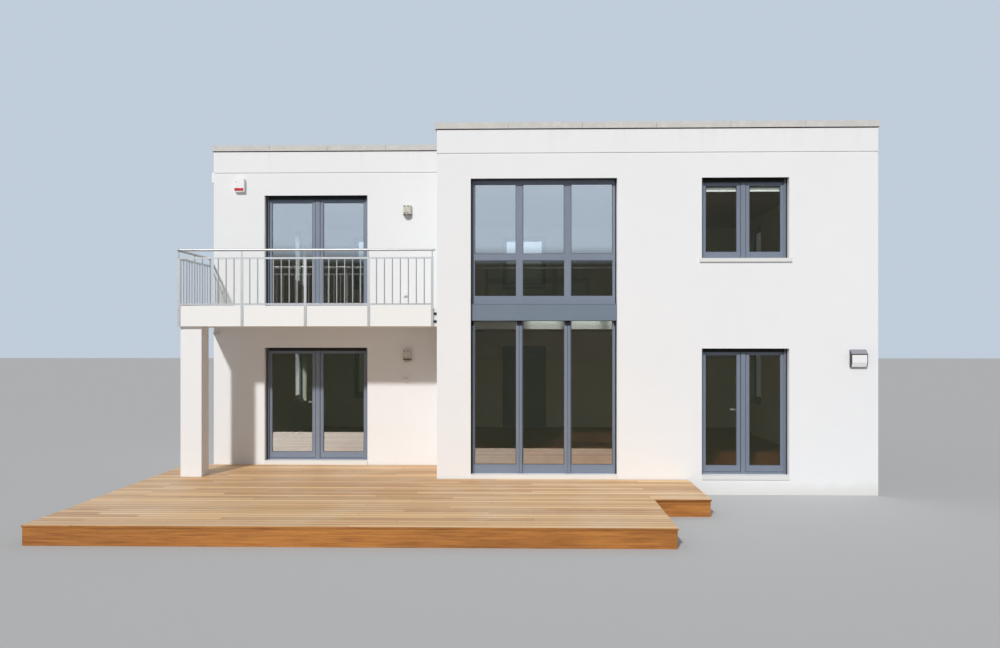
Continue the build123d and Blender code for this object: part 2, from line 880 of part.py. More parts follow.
# Glass balustrade along the gallery edge
gallery_y = front + gallery_distance
glass_z = (upper_level - gallery_glass_drop, upper_level + gallery_rail_height)
glass_y = (gallery_y - gallery_fixing_length - gallery_glass_thickness, gallery_y - gallery_fixing_length)
panel_pitch = (void_x[1] - void_x[0]) / gallery_panels
with BuildPart() as gallery_glass:
    for index in range(gallery_panels):
        x = (void_x[0] + index * panel_pitch, void_x[0] + (index + 1) * panel_pitch)
        block(shrunk(x, gallery_panel_gap / 2, gallery_panel_gap / 2), glass_y, glass_z)
save(gallery_glass, "gallery_glass")

with BuildPart() as gallery_fittings:
    rail_plane = Plane(origin=(void_x[0], sum(glass_y) / 2, 0), x_dir=(0, 1, 0), z_dir=(1, 0, 0))
    with BuildSketch(rail_plane) as rail_section:
        with Locations((0, glass_z[1] + gallery_rail_radius)):
            Circle(gallery_rail_radius)
    extrude(to_extrude=rail_section.sketch, amount=void_x[1] - void_x[0])
    for index in range(gallery_panels):
        for distance in (gallery_fixing_distance, panel_pitch - gallery_fixing_distance):
            x = void_x[0] + index * panel_pitch + distance
            edge_plane = Plane(
                origin=(x, gallery_y, upper_level - gallery_glass_drop / 2),
                x_dir=(1, 0, 0),
                z_dir=(0, -1, 0),
            )
            with BuildSketch(edge_plane) as fixing:
                Circle(gallery_fixing_radius)
            extrude(to_extrude=fixing.sketch, amount=gallery_fixing_length)
save(gallery_fittings, "gallery_fittings")


# Bowl-shaped wall lamps: flat top, round foot and round edges
wing_pier_middle = (wing_door_x[1] + wing_width) / 2
lamp_middle = wing_pier_middle + lamp_off_pier_middle
lamp_foot_radius = lamp_width / 2
with BuildPart() as wall_lamps:
    for level in (lower_lamp_level, upper_lamp_level):
        lamp_top = level + lamp_height / 2
        foot_centre = level - lamp_height / 2 + lamp_foot_radius
        with BuildSketch(wing_face) as outline:
            with BuildLine():
                Polyline(
                    (lamp_middle - lamp_foot_radius, foot_centre),
                    (lamp_middle - lamp_foot_radius, lamp_top),
                    (lamp_middle + lamp_foot_radius, lamp_top),
                    (lamp_middle + lamp_foot_radius, foot_centre),
                )
                ThreePointArc(
                    (lamp_middle + lamp_foot_radius, foot_centre),
                    (lamp_middle, foot_centre - lamp_foot_radius),
                    (lamp_middle - lamp_foot_radius, foot_centre),
                )
            make_face()
        extrude(to_extrude=outline.sketch, amount=lamp_depth)
    front_edges = wall_lamps.edges().group_by(Axis.Y)[0]
    fillet([edge for edge in front_edges if not is_level(edge)], lamp_edge_radius)
save(wall_lamps, "wall_lamps")

with BuildPart() as alarm_box:
    with BuildSketch(wing_face) as outline:
        with Locations((alarm_from_left, alarm_level)):
            RectangleRounded(alarm_width, alarm_height, alarm_corner)
    extrude(to_extrude=outline.sketch, amount=alarm_depth, taper=alarm_taper)
save(alarm_box, "alarm_box")

with BuildPart() as house_number_lamp:
    number_x = centred(main_width - number_from_right, number_width)
    number_plane = Plane(
        origin=front_face.from_local_coords((number_x[0], number_level, 0)),
        x_dir=(0, -1, 0),
        z_dir=(-1, 0, 0),
    )
    with BuildSketch(number_plane) as side_view:
        with BuildLine():
            Polyline(
                (0, -number_height / 2),
                (number_foot_depth, -number_height / 2),
                (number_depth, -number_height / 2 + number_bend_height),
                (number_depth, number_height / 2),
                (0, number_height / 2 + number_lid_height),
                close=True,
            )
        make_face()
    extrude(to_extrude=side_view.sketch, amount=-number_width)
save(house_number_lamp, "house_number_lamp")

with BuildPart() as small_fittings:
    for level in (lower_socket_level, upper_socket_level):
        plate(
            wing_face,
            -socket_depth,
            centred(wing_pier_middle + socket_off_pier_middle, socket_size),
            centred(level, socket_size),
            socket_depth,
        )
    plate(
        left_face,
        -side_light_depth,
        centred(wing_depth - side_light_from_corner, side_light_width),
        centred(side_light_level, side_light_height),
        side_light_depth,
    )
    with BuildSketch(wing_face) as spot:
        with Locations((spot_from_left, spot_level)):
            Circle(spot_radius)
    extrude(to_extrude=spot.sketch, amount=spot_length)
save(small_fittings, "small_fittings")

# Timber deck before the house and under the balcony
deck_left = left - deck_left_margin
deck_right = deck_left + deck_front_width
deck_front = front - deck_front_distance
deck_strip_front = front - deck_strip_depth
deck_strip_right = deck_right + deck_strip_length
deck_house_side = front - threshold_overhang
deck_wing_side = wing_front - threshold_overhang
deck_outline = (
    (deck_left, deck_front),
    (deck_right, deck_front),
    (deck_right, deck_strip_front),
    (deck_strip_right, deck_strip_front),
    (deck_strip_right, deck_house_side),
    (step, deck_house_side),
    (step, deck_wing_side),
    (deck_left, deck_wing_side),
)

deck_board_z = (deck_level - deck_board_thickness, deck_level)
pillar_clear_x = shrunk(pillar_x, -deck_clearance, -deck_clearance)
pillar_clear_y = shrunk(pillar_y, -deck_clearance, -deck_clearance)
with BuildPart() as deck_boards:
    with BuildSketch(Plane.XY.offset(deck_board_z[0])) as deck_plan:
        with BuildLine():
            Polyline(*deck_outline, close=True)
        make_face()
    extrude(to_extrude=deck_plan.sketch, amount=deck_board_thickness)
    block(pillar_clear_x, pillar_clear_y, deck_board_z, Mode.SUBTRACT)
save(deck_boards, "deck_boards")

skirt_z = (0, deck_board_z[0])
skirt_out = deck_overhang
skirt_in = deck_overhang + deck_skirt_thickness
skirt_end = skirt_in + deck_skirt_joint
skirt_boards = (
    ((deck_left + skirt_out, deck_right - skirt_out), (deck_front + skirt_out, deck_front + skirt_in)),
    ((deck_left + skirt_out, deck_left + skirt_in), (deck_front + skirt_end, deck_wing_side)),
    ((deck_right - skirt_in, deck_right - skirt_out), (deck_front + skirt_end, deck_strip_front + skirt_out)),
    (
        (deck_right - skirt_out + deck_skirt_joint, deck_strip_right - skirt_out),
        (deck_strip_front + skirt_out, deck_strip_front + skirt_in),
    ),
    (
        (deck_strip_right - skirt_in, deck_strip_right - skirt_out),
        (deck_strip_front + skirt_end, deck_house_side),
    ),
)
with BuildPart() as deck_skirt:
    for x, y in skirt_boards:
        block(x, y, skirt_z)
save(deck_skirt, "deck_skirt")

# Joists run from the front board to the house, and beside the pillar they stop short of it
joist_start = deck_left + skirt_in
joist_span = deck_right - skirt_in - joist_start
joist_count = round(joist_span / deck_joist_spacing)
joist_pitch = joist_span / joist_count
strip_joists = math.floor(deck_strip_length / joist_pitch)
with BuildPart() as deck_joists:
    for index in range(1, joist_count + strip_joists + 1):
        x = joist_start + index * joist_pitch
        in_strip = index >= joist_count
        y_start = (deck_strip_front if in_strip else deck_front) + skirt_in
        y_end = deck_wing_side if x + deck_joist_width / 2 < step else deck_house_side
        block(centred(x, deck_joist_width), (y_start, y_end), skirt_z)
    block(pillar_clear_x, pillar_clear_y, skirt_z, Mode.SUBTRACT)
save(deck_joists, "deck_joists")

print("overall width", right + coping_overhang - deck_left)
print("overall depth", back + coping_overhang - deck_front)
print("hinge axes, x in the part's frame")
for name, face, opening_x in door_pairs:
    for side in (-1, 1):
        axis = face.offset(-reveal_depth - frame_depth - hinge_axis_inset).from_local_coords(
            (hinge_x(opening_x, side), 0, 0)
        )
        print(name, side, round(axis.X, 2), round(axis.Y, 2))
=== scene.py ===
"""Looks of the detached house: finishes, deck boards, fittings, light and camera.

Metres, +Z up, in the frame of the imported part. The garden front faces -Y.
"""
import json
import math
import random

import bmesh
import bpy
from mathutils import Matrix, Vector


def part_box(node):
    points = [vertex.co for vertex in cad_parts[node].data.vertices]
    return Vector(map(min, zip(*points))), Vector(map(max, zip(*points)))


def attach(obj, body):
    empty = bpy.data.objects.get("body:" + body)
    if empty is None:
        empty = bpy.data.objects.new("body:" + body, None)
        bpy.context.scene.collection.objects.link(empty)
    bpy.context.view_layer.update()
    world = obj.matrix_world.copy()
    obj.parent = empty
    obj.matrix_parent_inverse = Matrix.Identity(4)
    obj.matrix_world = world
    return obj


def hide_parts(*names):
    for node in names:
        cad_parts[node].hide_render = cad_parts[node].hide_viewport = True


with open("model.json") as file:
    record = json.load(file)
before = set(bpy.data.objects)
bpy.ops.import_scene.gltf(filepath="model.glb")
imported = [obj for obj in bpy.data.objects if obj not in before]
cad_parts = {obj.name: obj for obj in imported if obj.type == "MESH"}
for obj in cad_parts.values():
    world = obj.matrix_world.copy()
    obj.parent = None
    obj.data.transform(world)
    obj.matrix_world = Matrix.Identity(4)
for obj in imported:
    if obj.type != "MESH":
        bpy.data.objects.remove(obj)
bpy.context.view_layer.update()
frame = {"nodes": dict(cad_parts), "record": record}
nodes = frame["nodes"]

# Planes and levels of the house, read from its nodes
left_side, wing_side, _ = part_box("wing_wall_piers")[0]
main_low, main_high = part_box("front_wall_piers")
recess_low, recess_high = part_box("recess_wall")
right_side = main_high.x
step_side = main_low.x
front_side = main_low.y
back_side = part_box("back_wall_piers")[1].y
wall_thickness = recess_high.x - recess_low.x
roof_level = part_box("roof_covering")[1].z
coping_base = main_high.z
near = 0.001

# Outline of the deck and the rows of its boards
deck_low, deck_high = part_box("deck_boards")
deck_points = [vert.co for vert in nodes["deck_boards"].data.vertices]
strip_points = [point for point in deck_points if point.x > deck_high.x - near]
deck_right = max(point.x for point in deck_points if point.y < deck_low.y + near)
strip_front = min(point.y for point in strip_points)
house_front = max(point.y for point in strip_points)
board_gap = 0.005
board_rows = 27
board_pitch = (house_front - deck_low.y + board_gap) / board_rows

scatter = random.Random(11)


# Node helpers


def join(tree, value, socket):
    """Gives a socket a value: another socket to follow, or a plain number, vector or colour."""
    if isinstance(value, bpy.types.NodeSocket):
        tree.links.new(value, socket)
    elif socket.type == "RGBA":
        socket.default_value = (*value, 1.0)
    else:
        socket.default_value = value


def add(tree, kind, inputs=None, **settings):
    """One node with its settings and what its inputs follow."""
    node = tree.nodes.new(kind)
    for name, value in settings.items():
        setattr(node, name, value)
    for name, value in (inputs or {}).items():
        join(tree, value, node.inputs[name])
    return node


def calc(tree, operation, first, second=0.0, clamp=False):
    """The outcome of one sum on two values."""
    node = add(tree, "ShaderNodeMath", {0: first, 1: second}, operation=operation, use_clamp=clamp)
    return node.outputs[0]


def weighted(tree, *parts):
    """The sum of some values, each given with its share."""
    total, *others = [calc(tree, "MULTIPLY", value, share) for value, share in parts]
    for other in others:
        total = calc(tree, "ADD", total, other)
    return total


def fading(tree, distance, reach):
    """1 at no distance, falling to 0 at a reach."""
    return calc(tree, "SUBTRACT", 1.0, calc(tree, "DIVIDE", distance, reach), clamp=True)


def from_whole(tree, value):
    """How far a value is from the nearest whole number."""
    share = calc(tree, "FRACT", value)
    return calc(tree, "MINIMUM", share, calc(tree, "SUBTRACT", 1.0, share))


def mixed(tree, share, first, second):
    """A colour between two others."""
    inputs = {0: share, 6: first, 7: second}
    return add(tree, "ShaderNodeMix", inputs, data_type="RGBA").outputs[2]


def stained(tree, colour, mask, strength, stain):
    """A colour with a stain on it where a mask is set."""
    return mixed(tree, calc(tree, "MULTIPLY", mask, strength), colour, stain)


def ranged(tree, value, low, high, to_low=0.0, to_high=1.0):
    """A value spread from one range to another, and kept in it."""
    ends = {"From Min": low, "From Max": high, "To Min": to_low, "To Max": to_high}
    return add(tree, "ShaderNodeMapRange", {"Value": value, **ends}).outputs["Result"]


def stretched(tree, vector, scale):
    """A vector whose pattern is scaled apart along X, Y and Z."""
    return add(tree, "ShaderNodeMapping", {"Vector": vector, "Scale": scale}).outputs["Vector"]


def noise(tree, vector, scale, detail, roughness):
    """Soft noise from 0 to 1."""
    inputs = {"Vector": vector, "Scale": scale, "Detail": detail, "Roughness": roughness}
    return add(tree, "ShaderNodeTexNoise", inputs).outputs["Fac"]


def axes(tree, vector):
    """The X, Y and Z of a vector."""
    return add(tree, "ShaderNodeSeparateXYZ", {"Vector": vector}).outputs


def facing_up(tree):
    """1 on a surface that faces up, 0 on an upright one, -1 on an underside."""
    return axes(tree, add(tree, "ShaderNodeNewGeometry").outputs["Normal"])["Z"]


def start_group(name, **takes):
    """A node group, its vector and what else it is given."""
    group = bpy.data.node_groups.new(name, "ShaderNodeTree")
    group.interface.new_socket("Vector", in_out="INPUT", socket_type="NodeSocketVector")
    for socket, value in takes.items():
        made = group.interface.new_socket(socket, in_out="INPUT", socket_type="NodeSocketFloat")
        made.default_value = value
    given = group.nodes.new("NodeGroupInput").outputs
    return group, given["Vector"], given


def end_group(group, **gives):
    """The same group with what it gives."""
    for socket in gives:
        group.interface.new_socket(socket, in_out="OUTPUT", socket_type="NodeSocketFloat")
    result = group.nodes.new("NodeGroupOutput").inputs
    for socket, value in gives.items():
        join(group, value, result[socket])
    return group


def place_group(tree, group, vector, **values):
    """The outputs of a group placed in a material, with its vector and the values of its inputs."""
    return add(tree, "ShaderNodeGroup", {"Vector": vector, **values}, node_tree=group).outputs


def make_grain_group():
    """Trowelled grain: small bumps, and a slow drift of shade over the wall."""
    group, place, _ = start_group("trowelled_grain")
    fine = noise(group, place, 260.0, 2.0, 0.6)
    coarse = noise(group, place, 260.0 / 14.0, 3.0, 0.5)
    height = weighted(group, (fine, 0.7), (coarse, 0.5))
    slow = noise(group, place, 0.55, 4.0, 0.55)
    patch = noise(group, place, 3.1, 3.0, 0.6)
    shade = weighted(group, (slow, 0.65), (patch, 0.35))
    return end_group(group, Height=height, Shade=shade)


def make_streak_group():
    """Rain streaks that run down from a level and fade with the distance below it."""
    group, place, given = start_group("rain_streaks", Top=6.3, Reach=0.5)
    thin = noise(group, stretched(group, place, (9.0, 9.0, 0.35)), 1.0, 4.0, 0.65)
    wide = noise(group, stretched(group, place, (1.7, 1.7, 0.1)), 1.0, 2.0, 0.5)
    lines = calc(group, "MULTIPLY", ranged(group, thin, 0.5, 0.78), ranged(group, wide, 0.38, 0.65))
    below = calc(group, "SUBTRACT", given["Top"], axes(group, place)["Z"])
    mask = calc(group, "MULTIPLY", lines, fading(group, below, given["Reach"]))
    mask = calc(group, "MULTIPLY", mask, calc(group, "GREATER_THAN", below, 0.0))
    return end_group(group, Mask=mask)


def make_indoors_group():
    """1 on surfaces that face the rooms, 0 on the outer face of the house and on its roof."""
    group, place, _ = start_group("indoors")
    place = axes(group, place)
    margin = wall_thickness * 0.66
    roof_margin = 0.12

    def past(value, limit):
        return calc(group, "GREATER_THAN", value, limit)

    def every(first, *others):
        for other in others:
            first = calc(group, "MULTIPLY", first, other)
        return first

    in_wing = past(place["Y"], wing_side + margin)
    in_main = every(past(place["X"], step_side + margin), past(place["Y"], front_side + margin))
    mask = every(
        calc(group, "MAXIMUM", in_wing, in_main),
        past(place["X"], left_side + margin),
        past(right_side - margin, place["X"]),
        past(back_side - margin, place["Y"]),
        past(roof_level - roof_margin, place["Z"]),
    )
    return end_group(group, Mask=mask)


def make_timber_group():
    """Timber grain along X: a tone that varies along and across a board, and its fine relief."""
    group, place, given = start_group("timber_grain", Tone=0.5)
    shift = add(group, "ShaderNodeCombineXYZ", {"X": calc(group, "MULTIPLY", given["Tone"], 37.0)})
    parts = {0: place, 1: shift.outputs["Vector"]}
    moved = add(group, "ShaderNodeVectorMath", parts, operation="ADD").outputs[0]
    long_grain = noise(group, stretched(group, moved, (1.6, 38.0, 38.0)), 1.0, 5.0, 0.62)
    pores = noise(group, stretched(group, moved, (14.0, 420.0, 420.0)), 1.0, 2.0, 0.5)
    patch = noise(group, stretched(group, moved, (0.7, 2.4, 2.4)), 1.0, 2.0, 0.5)
    shade = weighted(group, (long_grain, 0.55), (pores, 0.15), (patch, 0.30))
    height = weighted(group, (long_grain, 0.6), (pores, 0.4))
    return end_group(group, Shade=shade, Height=height)


def make_cells_group():
    """Rectangular cells such as strips or tiles: a tone for each, and a mask on the joints."""
    group, place, given = start_group("laid_cells", Length=1.8, Width=0.14, Joint=0.002)

    def near_edge(share, size):
        distance = calc(group, "MULTIPLY", from_whole(group, share), size)
        return calc(group, "LESS_THAN", distance, given["Joint"])

    place = axes(group, place)
    across = calc(group, "DIVIDE", place["X"], given["Width"])
    row = calc(group, "FLOOR", across)
    offset = add(group, "ShaderNodeTexWhiteNoise", {"W": row}, noise_dimensions="1D")
    along = calc(group, "DIVIDE", place["Y"], given["Length"])
    along = calc(group, "ADD", along, offset.outputs["Value"])
    cell = add(group, "ShaderNodeCombineXYZ", {"X": row, "Y": calc(group, "FLOOR", along)})
    corner = {"Vector": cell.outputs["Vector"]}
    tone = add(group, "ShaderNodeTexWhiteNoise", corner, noise_dimensions="2D")
    beside = near_edge(across, given["Width"])
    joints = calc(group, "MAXIMUM", beside, near_edge(along, given["Length"]))
    return end_group(group, Tone=tone.outputs["Value"], Joints=joints)


def make_coat_group():
    """Powder coat: slight orange peel, and dust that shifts the gloss."""
    group, place, _ = start_group("coat_texture")
    peel = noise(group, place, 420.0, 1.0, 0.5)
    drift = noise(group, stretched(group, place, (1.0, 1.0, 0.45)), 1.3, 4.0, 0.6)
    smears = ranged(group, noise(group, place, 7.0, 4.0, 0.65), 0.3, 0.75)
    return end_group(group, Height=peel, Shade=drift, Gloss=smears)


grain_group = make_grain_group()
streak_group = make_streak_group()
indoors_group = make_indoors_group()
timber_group = make_timber_group()
cells_group = make_cells_group()
coat_group = make_coat_group()


# Materials


def start_material(name):
    """A new material with its tree and the object's own coordinates."""
    material = bpy.data.materials.new(name)
    material.use_nodes = True
    tree = material.node_tree
    place = add(tree, "ShaderNodeTexCoord").outputs["Object"]
    return material, tree, place


def surface(material, colour, roughness, bump=None, others=None):
    """Gives a material its colour, its roughness, its bump (height, strength, depth) and others."""
    tree = material.node_tree
    inputs = tree.nodes["Principled BSDF"].inputs
    for name, value in {"Base Color": colour, "Roughness": roughness, **(others or {})}.items():
        join(tree, value, inputs[name])
    if bump:
        node = add(tree, "ShaderNodeBump", dict(zip(("Height", "Strength", "Distance"), bump)))
        join(tree, node.outputs["Normal"], inputs["Normal"])
    return material


def parquet(tree, place):
    """The colour of a red-brown strip floor."""
    cells = place_group(tree, cells_group, place, Length=1.6, Width=0.12, Joint=0.0012)
    quarter_turn = {"Vector": place, "Rotation": (0.0, 0.0, math.pi / 2)}
    turned = add(tree, "ShaderNodeMapping", quarter_turn).outputs["Vector"]
    grain = place_group(tree, timber_group, turned, Tone=cells["Tone"])
    shade = weighted(tree, (cells["Tone"], 0.45), (grain["Shade"], 0.6))
    colour = mixed(tree, shade, (0.11, 0.032, 0.014), (0.36, 0.13, 0.058))
    return mixed(tree, cells["Joints"], colour, (0.03, 0.012, 0.008))


def render_material():
    """White trowelled render outside, warm smooth plaster towards the rooms."""
    material, tree, place = start_material("white_render")
    grain = place_group(tree, grain_group, place)
    shade = grain["Shade"]
    outside = mixed(tree, shade, (0.77, 0.775, 0.79), (0.84, 0.845, 0.855))
    streaks = place_group(tree, streak_group, place, Top=coping_base, Reach=0.45)["Mask"]
    outside = stained(tree, outside, streaks, 0.35, (0.50, 0.50, 0.48))
    splash = noise(tree, place, 2.6, 5.0, 0.6)
    splash_top = calc(tree, "ADD", 0.10, calc(tree, "MULTIPLY", splash, 0.30))
    low = fading(tree, axes(tree, place)["Z"], splash_top)
    outside = stained(tree, outside, low, 0.45, (0.53, 0.52, 0.47))
    inside = mixed(tree, shade, (0.76, 0.73, 0.61), (0.83, 0.80, 0.69))
    indoors = place_group(tree, indoors_group, place)["Mask"]
    colour = mixed(tree, indoors, outside, inside)
    return surface(material, colour, 0.86, (grain["Height"], 0.35, 0.0016))


def floor_material():
    """Floor slabs: strip floor on top, white plaster on the edges and undersides."""
    material, tree, place = start_material("concrete")
    upwards = calc(tree, "GREATER_THAN", facing_up(tree), 0.5)
    grain = place_group(tree, grain_group, place)
    plaster = mixed(tree, grain["Shade"], (0.74, 0.73, 0.69), (0.82, 0.81, 0.78))
    colour = mixed(tree, upwards, plaster, parquet(tree, place))
    return surface(material, colour, ranged(tree, upwards, 0.0, 1.0, 0.85, 0.32))


def gravel_material():
    """Round gravel of mixed greys and browns."""
    material, tree, place = start_material("roof_gravel")
    stones = add(tree, "ShaderNodeTexVoronoi", {"Vector": place, "Scale": 34.0}, feature="F1")
    distance = stones.outputs["Distance"]
    tone = add(tree, "ShaderNodeSeparateColor", {"Color": stones.outputs["Color"]}).outputs
    colour = mixed(tree, tone["Red"], (0.26, 0.25, 0.24), (0.62, 0.60, 0.56))
    colour = stained(tree, colour, tone["Green"], 0.45, (0.40, 0.31, 0.22))
    # Painted shade: the gaps between the stones turn near black.
    colour = mixed(tree, ranged(tree, distance, 0.45, 0.75), colour, (0.07, 0.065, 0.06))
    return surface(material, colour, 0.8, (calc(tree, "SUBTRACT", 1.0, distance), 0.9, 0.012))


def stone_material():
    """Light grey cast stone of the coping, with a mottled weathered top."""
    material, tree, place = start_material("coping_stone")
    speckle = noise(tree, place, 160.0, 2.0, 0.6)
    clouds = noise(tree, place, 2.2, 5.0, 0.65)
    blots = ranged(tree, noise(tree, place, 9.0, 4.0, 0.7), 0.5, 0.72)
    colour = mixed(tree, clouds, (0.485, 0.475, 0.455), (0.71, 0.695, 0.665))
    colour = stained(tree, colour, blots, 0.4, (0.80, 0.79, 0.765))
    colour = stained(tree, colour, speckle, 0.25, (0.36, 0.35, 0.33))
    return surface(material, colour, 0.82, (calc(tree, "ADD", speckle, blots), 0.3, 0.0015))


def coated_material(name, colour, gloss, metal=0.0, spread=0.10):
    """Coated metal or plastic: a drifting colour, dust in the gloss and a fine peel."""
    material, tree, place = start_material(name)
    coat = place_group(tree, coat_group, place)
    dark, light = (
        [min(1.0, part * factor) for part in colour] for factor in (1.0 - spread, 1.0 + spread)
    )
    drifting = mixed(tree, coat["Shade"], dark, light)
    roughness = ranged(tree, coat["Gloss"], 0.0, 1.0, gloss - 0.05, gloss + 0.08)
    peel = (coat["Height"], 0.06, 0.0006)
    return surface(material, drifting, roughness, peel, {"Metallic": metal})


def glass_material():
    """Clear glass that lets the light of lamps through.

    Its high index makes one solid sheet mirror as much as coated double glazing.
    """
    material, tree, _ = start_material("clear_glass")
    tint = (0.93, 0.96, 0.95)
    in_shadow = add(tree, "ShaderNodeLightPath").outputs["Is Shadow Ray"]
    glossy = tree.nodes["Principled BSDF"].outputs[0]
    clear = add(tree, "ShaderNodeBsdfTransparent", {"Color": tint}).outputs[0]
    blend = add(tree, "ShaderNodeMixShader", {0: in_shadow, 1: glossy, 2: clear})
    join(tree, blend.outputs[0], tree.nodes["Material Output"].inputs["Surface"])
    return surface(material, tint, 0.0, None, {"IOR": 3.2, "Transmission Weight": 1.0})


def deck_material():
    """Oiled hardwood, bleached on top and darker on its sides, with each board's own board_tone."""
    material, tree, place = start_material("deck_timber")
    tone = add(tree, "ShaderNodeAttribute", attribute_name="board_tone").outputs["Fac"]
    grain = place_group(tree, timber_group, place, Tone=tone)
    shade = weighted(tree, (tone, 0.5), (grain["Shade"], 0.55))
    top = mixed(tree, shade, (0.40, 0.18, 0.07), (1.0, 0.69, 0.36))
    worn = ranged(tree, noise(tree, place, 0.9, 4.0, 0.6), 0.45, 0.72)
    top = stained(tree, top, worn, 0.35, (0.86, 0.72, 0.53))
    # Painted shade: the top of each board darkens towards its long edges, beside the gaps.
    depth = calc(tree, "SUBTRACT", axes(tree, place)["Y"], deck_low.y)
    edge = from_whole(tree, calc(tree, "DIVIDE", depth, board_pitch))
    board_edge_shade = ranged(tree, edge, 0.03, 0.14, 0.5, 0.0)
    top = mixed(tree, board_edge_shade, top, (0.22, 0.095, 0.04))
    streaks = ranged(tree, grain["Shade"], 0.36, 0.64)
    sides = mixed(tree, streaks, (0.21, 0.065, 0.010), (0.54, 0.215, 0.038))
    colour = mixed(tree, ranged(tree, facing_up(tree), 0.5, 0.95), sides, top)
    roughness = ranged(tree, grain["Shade"], 0.3, 0.7, 0.48, 0.66)
    return surface(material, colour, roughness, (grain["Height"], 0.35, 0.0012))


def plain_timber_material():
    """Sawn timber under the deck."""
    material, tree, place = start_material("joist_timber")
    grain = place_group(tree, timber_group, place, Tone=0.3)
    colour = mixed(tree, grain["Shade"], (0.17, 0.10, 0.055), (0.42, 0.27, 0.15))
    return surface(material, colour, 0.75, (grain["Height"], 0.4, 0.0012))


def slab_material():
    """Balcony slab: pale tiles on top, white soffit and edges."""
    material, tree, place = start_material("balcony_concrete")
    upwards = calc(tree, "GREATER_THAN", facing_up(tree), 0.5)
    cells = place_group(tree, cells_group, place, Length=0.5, Width=0.5, Joint=0.003)
    tiles = mixed(tree, cells["Tone"], (0.42, 0.41, 0.39), (0.52, 0.51, 0.48))
    tiles = mixed(tree, cells["Joints"], tiles, (0.2, 0.19, 0.18))
    grain = place_group(tree, grain_group, place)
    white = mixed(tree, grain["Shade"], (0.74, 0.74, 0.73), (0.82, 0.82, 0.81))
    colour = mixed(tree, upwards, white, tiles)
    return surface(material, colour, 0.8, (grain["Height"], 0.3, 0.0015))


# Coated metals and plastics: colour, roughness, and where needed share of metal and drift
coats = {
    "frame_grey": ((0.190, 0.225, 0.290), 0.38),
    "panel_grey": ((0.168, 0.210, 0.268), 0.33),
    "shutter_dark": ((0.014, 0.015, 0.018), 0.5),
    "inlet_black": ((0.003, 0.003, 0.0035), 0.75),
    "sill_metal": ((0.74, 0.74, 0.735), 0.4, 0.0, 0.04),
    "handle_metal": ((0.78, 0.78, 0.77), 0.3, 0.6, 0.03),
    "railing_metal": ((0.495, 0.50, 0.505), 0.44, 0.6, 0.05),
    "fascia_white": ((0.83, 0.83, 0.82), 0.42, 0.0, 0.02),
    "lamp_metal": ((0.42, 0.40, 0.38), 0.4, 0.6),
    "alarm_white": ((0.83, 0.83, 0.83), 0.3, 0.0, 0.02),
    "number_dark": ((0.050, 0.047, 0.053), 0.6),
    "fitting_white": ((0.78, 0.78, 0.77), 0.4, 0.0, 0.03),
    # One black for real black parts, such as gaskets and brackets, and for strips of painted shade.
    "black_parts_and_painted_shade": ((0.004, 0.004, 0.0045), 0.75),
    "lens_red": ((0.52, 0.010, 0.022), 0.2),
    "lamp_glass": ((0.58, 0.57, 0.49), 0.35, 0.0, 0.05),
    "screw_metal": ((0.45, 0.44, 0.42), 0.35, 0.9),
    "blind_white": ((0.86, 0.86, 0.85), 0.7, 0.0, 0.03),
    "blind_grey": ((0.46, 0.47, 0.47), 0.7, 0.0, 0.05),
    "lamp_dark": ((0.10, 0.095, 0.075), 0.4, 0.4),
    "button_blue": ((0.22, 0.27, 0.36), 0.3),
    "number_white": ((0.84, 0.84, 0.85), 0.35, 0.0, 0.02),
    "number_lid_grey": ((0.30, 0.295, 0.345), 0.5),
}
finishes = {
    "white_render": render_material(),
    "concrete": floor_material(),
    "balcony_concrete": slab_material(),
    "roof_gravel": gravel_material(),
    "coping_stone": stone_material(),
    "clear_glass": glass_material(),
    "deck_timber": deck_material(),
    "joist_timber": plain_timber_material(),
}
for coat_name, coat_values in coats.items():
    finishes[coat_name] = coated_material(coat_name, *coat_values)


def paint(name, finish):
    """Puts one finish on a CAD node."""
    mesh = nodes[name].data
    if not mesh.materials:
        mesh.materials.append(finishes[finish])
    for index in range(len(mesh.materials)):
        mesh.materials[index] = finishes[finish]


for entry in frame["record"]["subparts"]:
    paint(entry["node"], entry["material_slot"])
paint("balcony_slab", "balcony_concrete")


# Shapes


def add_box(bm, x, y, z, place=Matrix.Identity(4)):
    """A straight block over three ranges, in the frame of a place. Gives its vertices."""
    low, high = (Vector(corner) for corner in zip(x, y, z))
    middle = Matrix.Translation((low + high) / 2)
    matrix = place @ middle @ Matrix.Diagonal((*(high - low), 1.0))
    return bmesh.ops.create_cube(bm, size=1.0, matrix=matrix)["verts"]


def edges_of(verts):
    """All edges that join some vertices."""
    verts = set(verts)
    return {edge for vert in verts for edge in vert.link_edges if edge.other_vert(vert) in verts}


def bevel(bm, edges, width, segments=2):
    """Rounds some edges."""
    bmesh.ops.bevel(
        bm, geom=list(edges), offset=width, affect="EDGES", segments=segments, profile=0.5
    )


def add_soft_box(bm, x, y, z, width, segments=2, place=Matrix.Identity(4)):
    """A block with all its edges rounded."""
    bevel(bm, edges_of(add_box(bm, x, y, z, place)), width, segments)


def add_rod(bm, start, end, radius, segments=16, end_radius=None):
    """A round rod or cone between two points."""
    start, end = Vector(start), Vector(end)
    turn = (end - start).to_track_quat("Z", "Y").to_matrix().to_4x4()
    end_radius = radius if end_radius is None else end_radius
    bmesh.ops.create_cone(
        bm, cap_ends=True, segments=segments, radius1=radius, radius2=end_radius,
        depth=(end - start).length, matrix=Matrix.Translation((start + end) / 2) @ turn,
    )


def add_sheet(bm, x, start, end, margins, rise):
    """A thin flat sheet over a width, from one (y, z) point up to another, short of both."""
    first, last = Vector((0, *start)), Vector((0, *end))
    along = (last - first).normalized()
    across = Vector((1, 0, 0))
    out = across.cross(along)
    place = Matrix.Translation(first) @ Matrix((across, out, along)).transposed().to_4x4()
    z = (margins[0], (last - first).length - margins[1])
    add_box(bm, x, (-rise, rise), z, place)


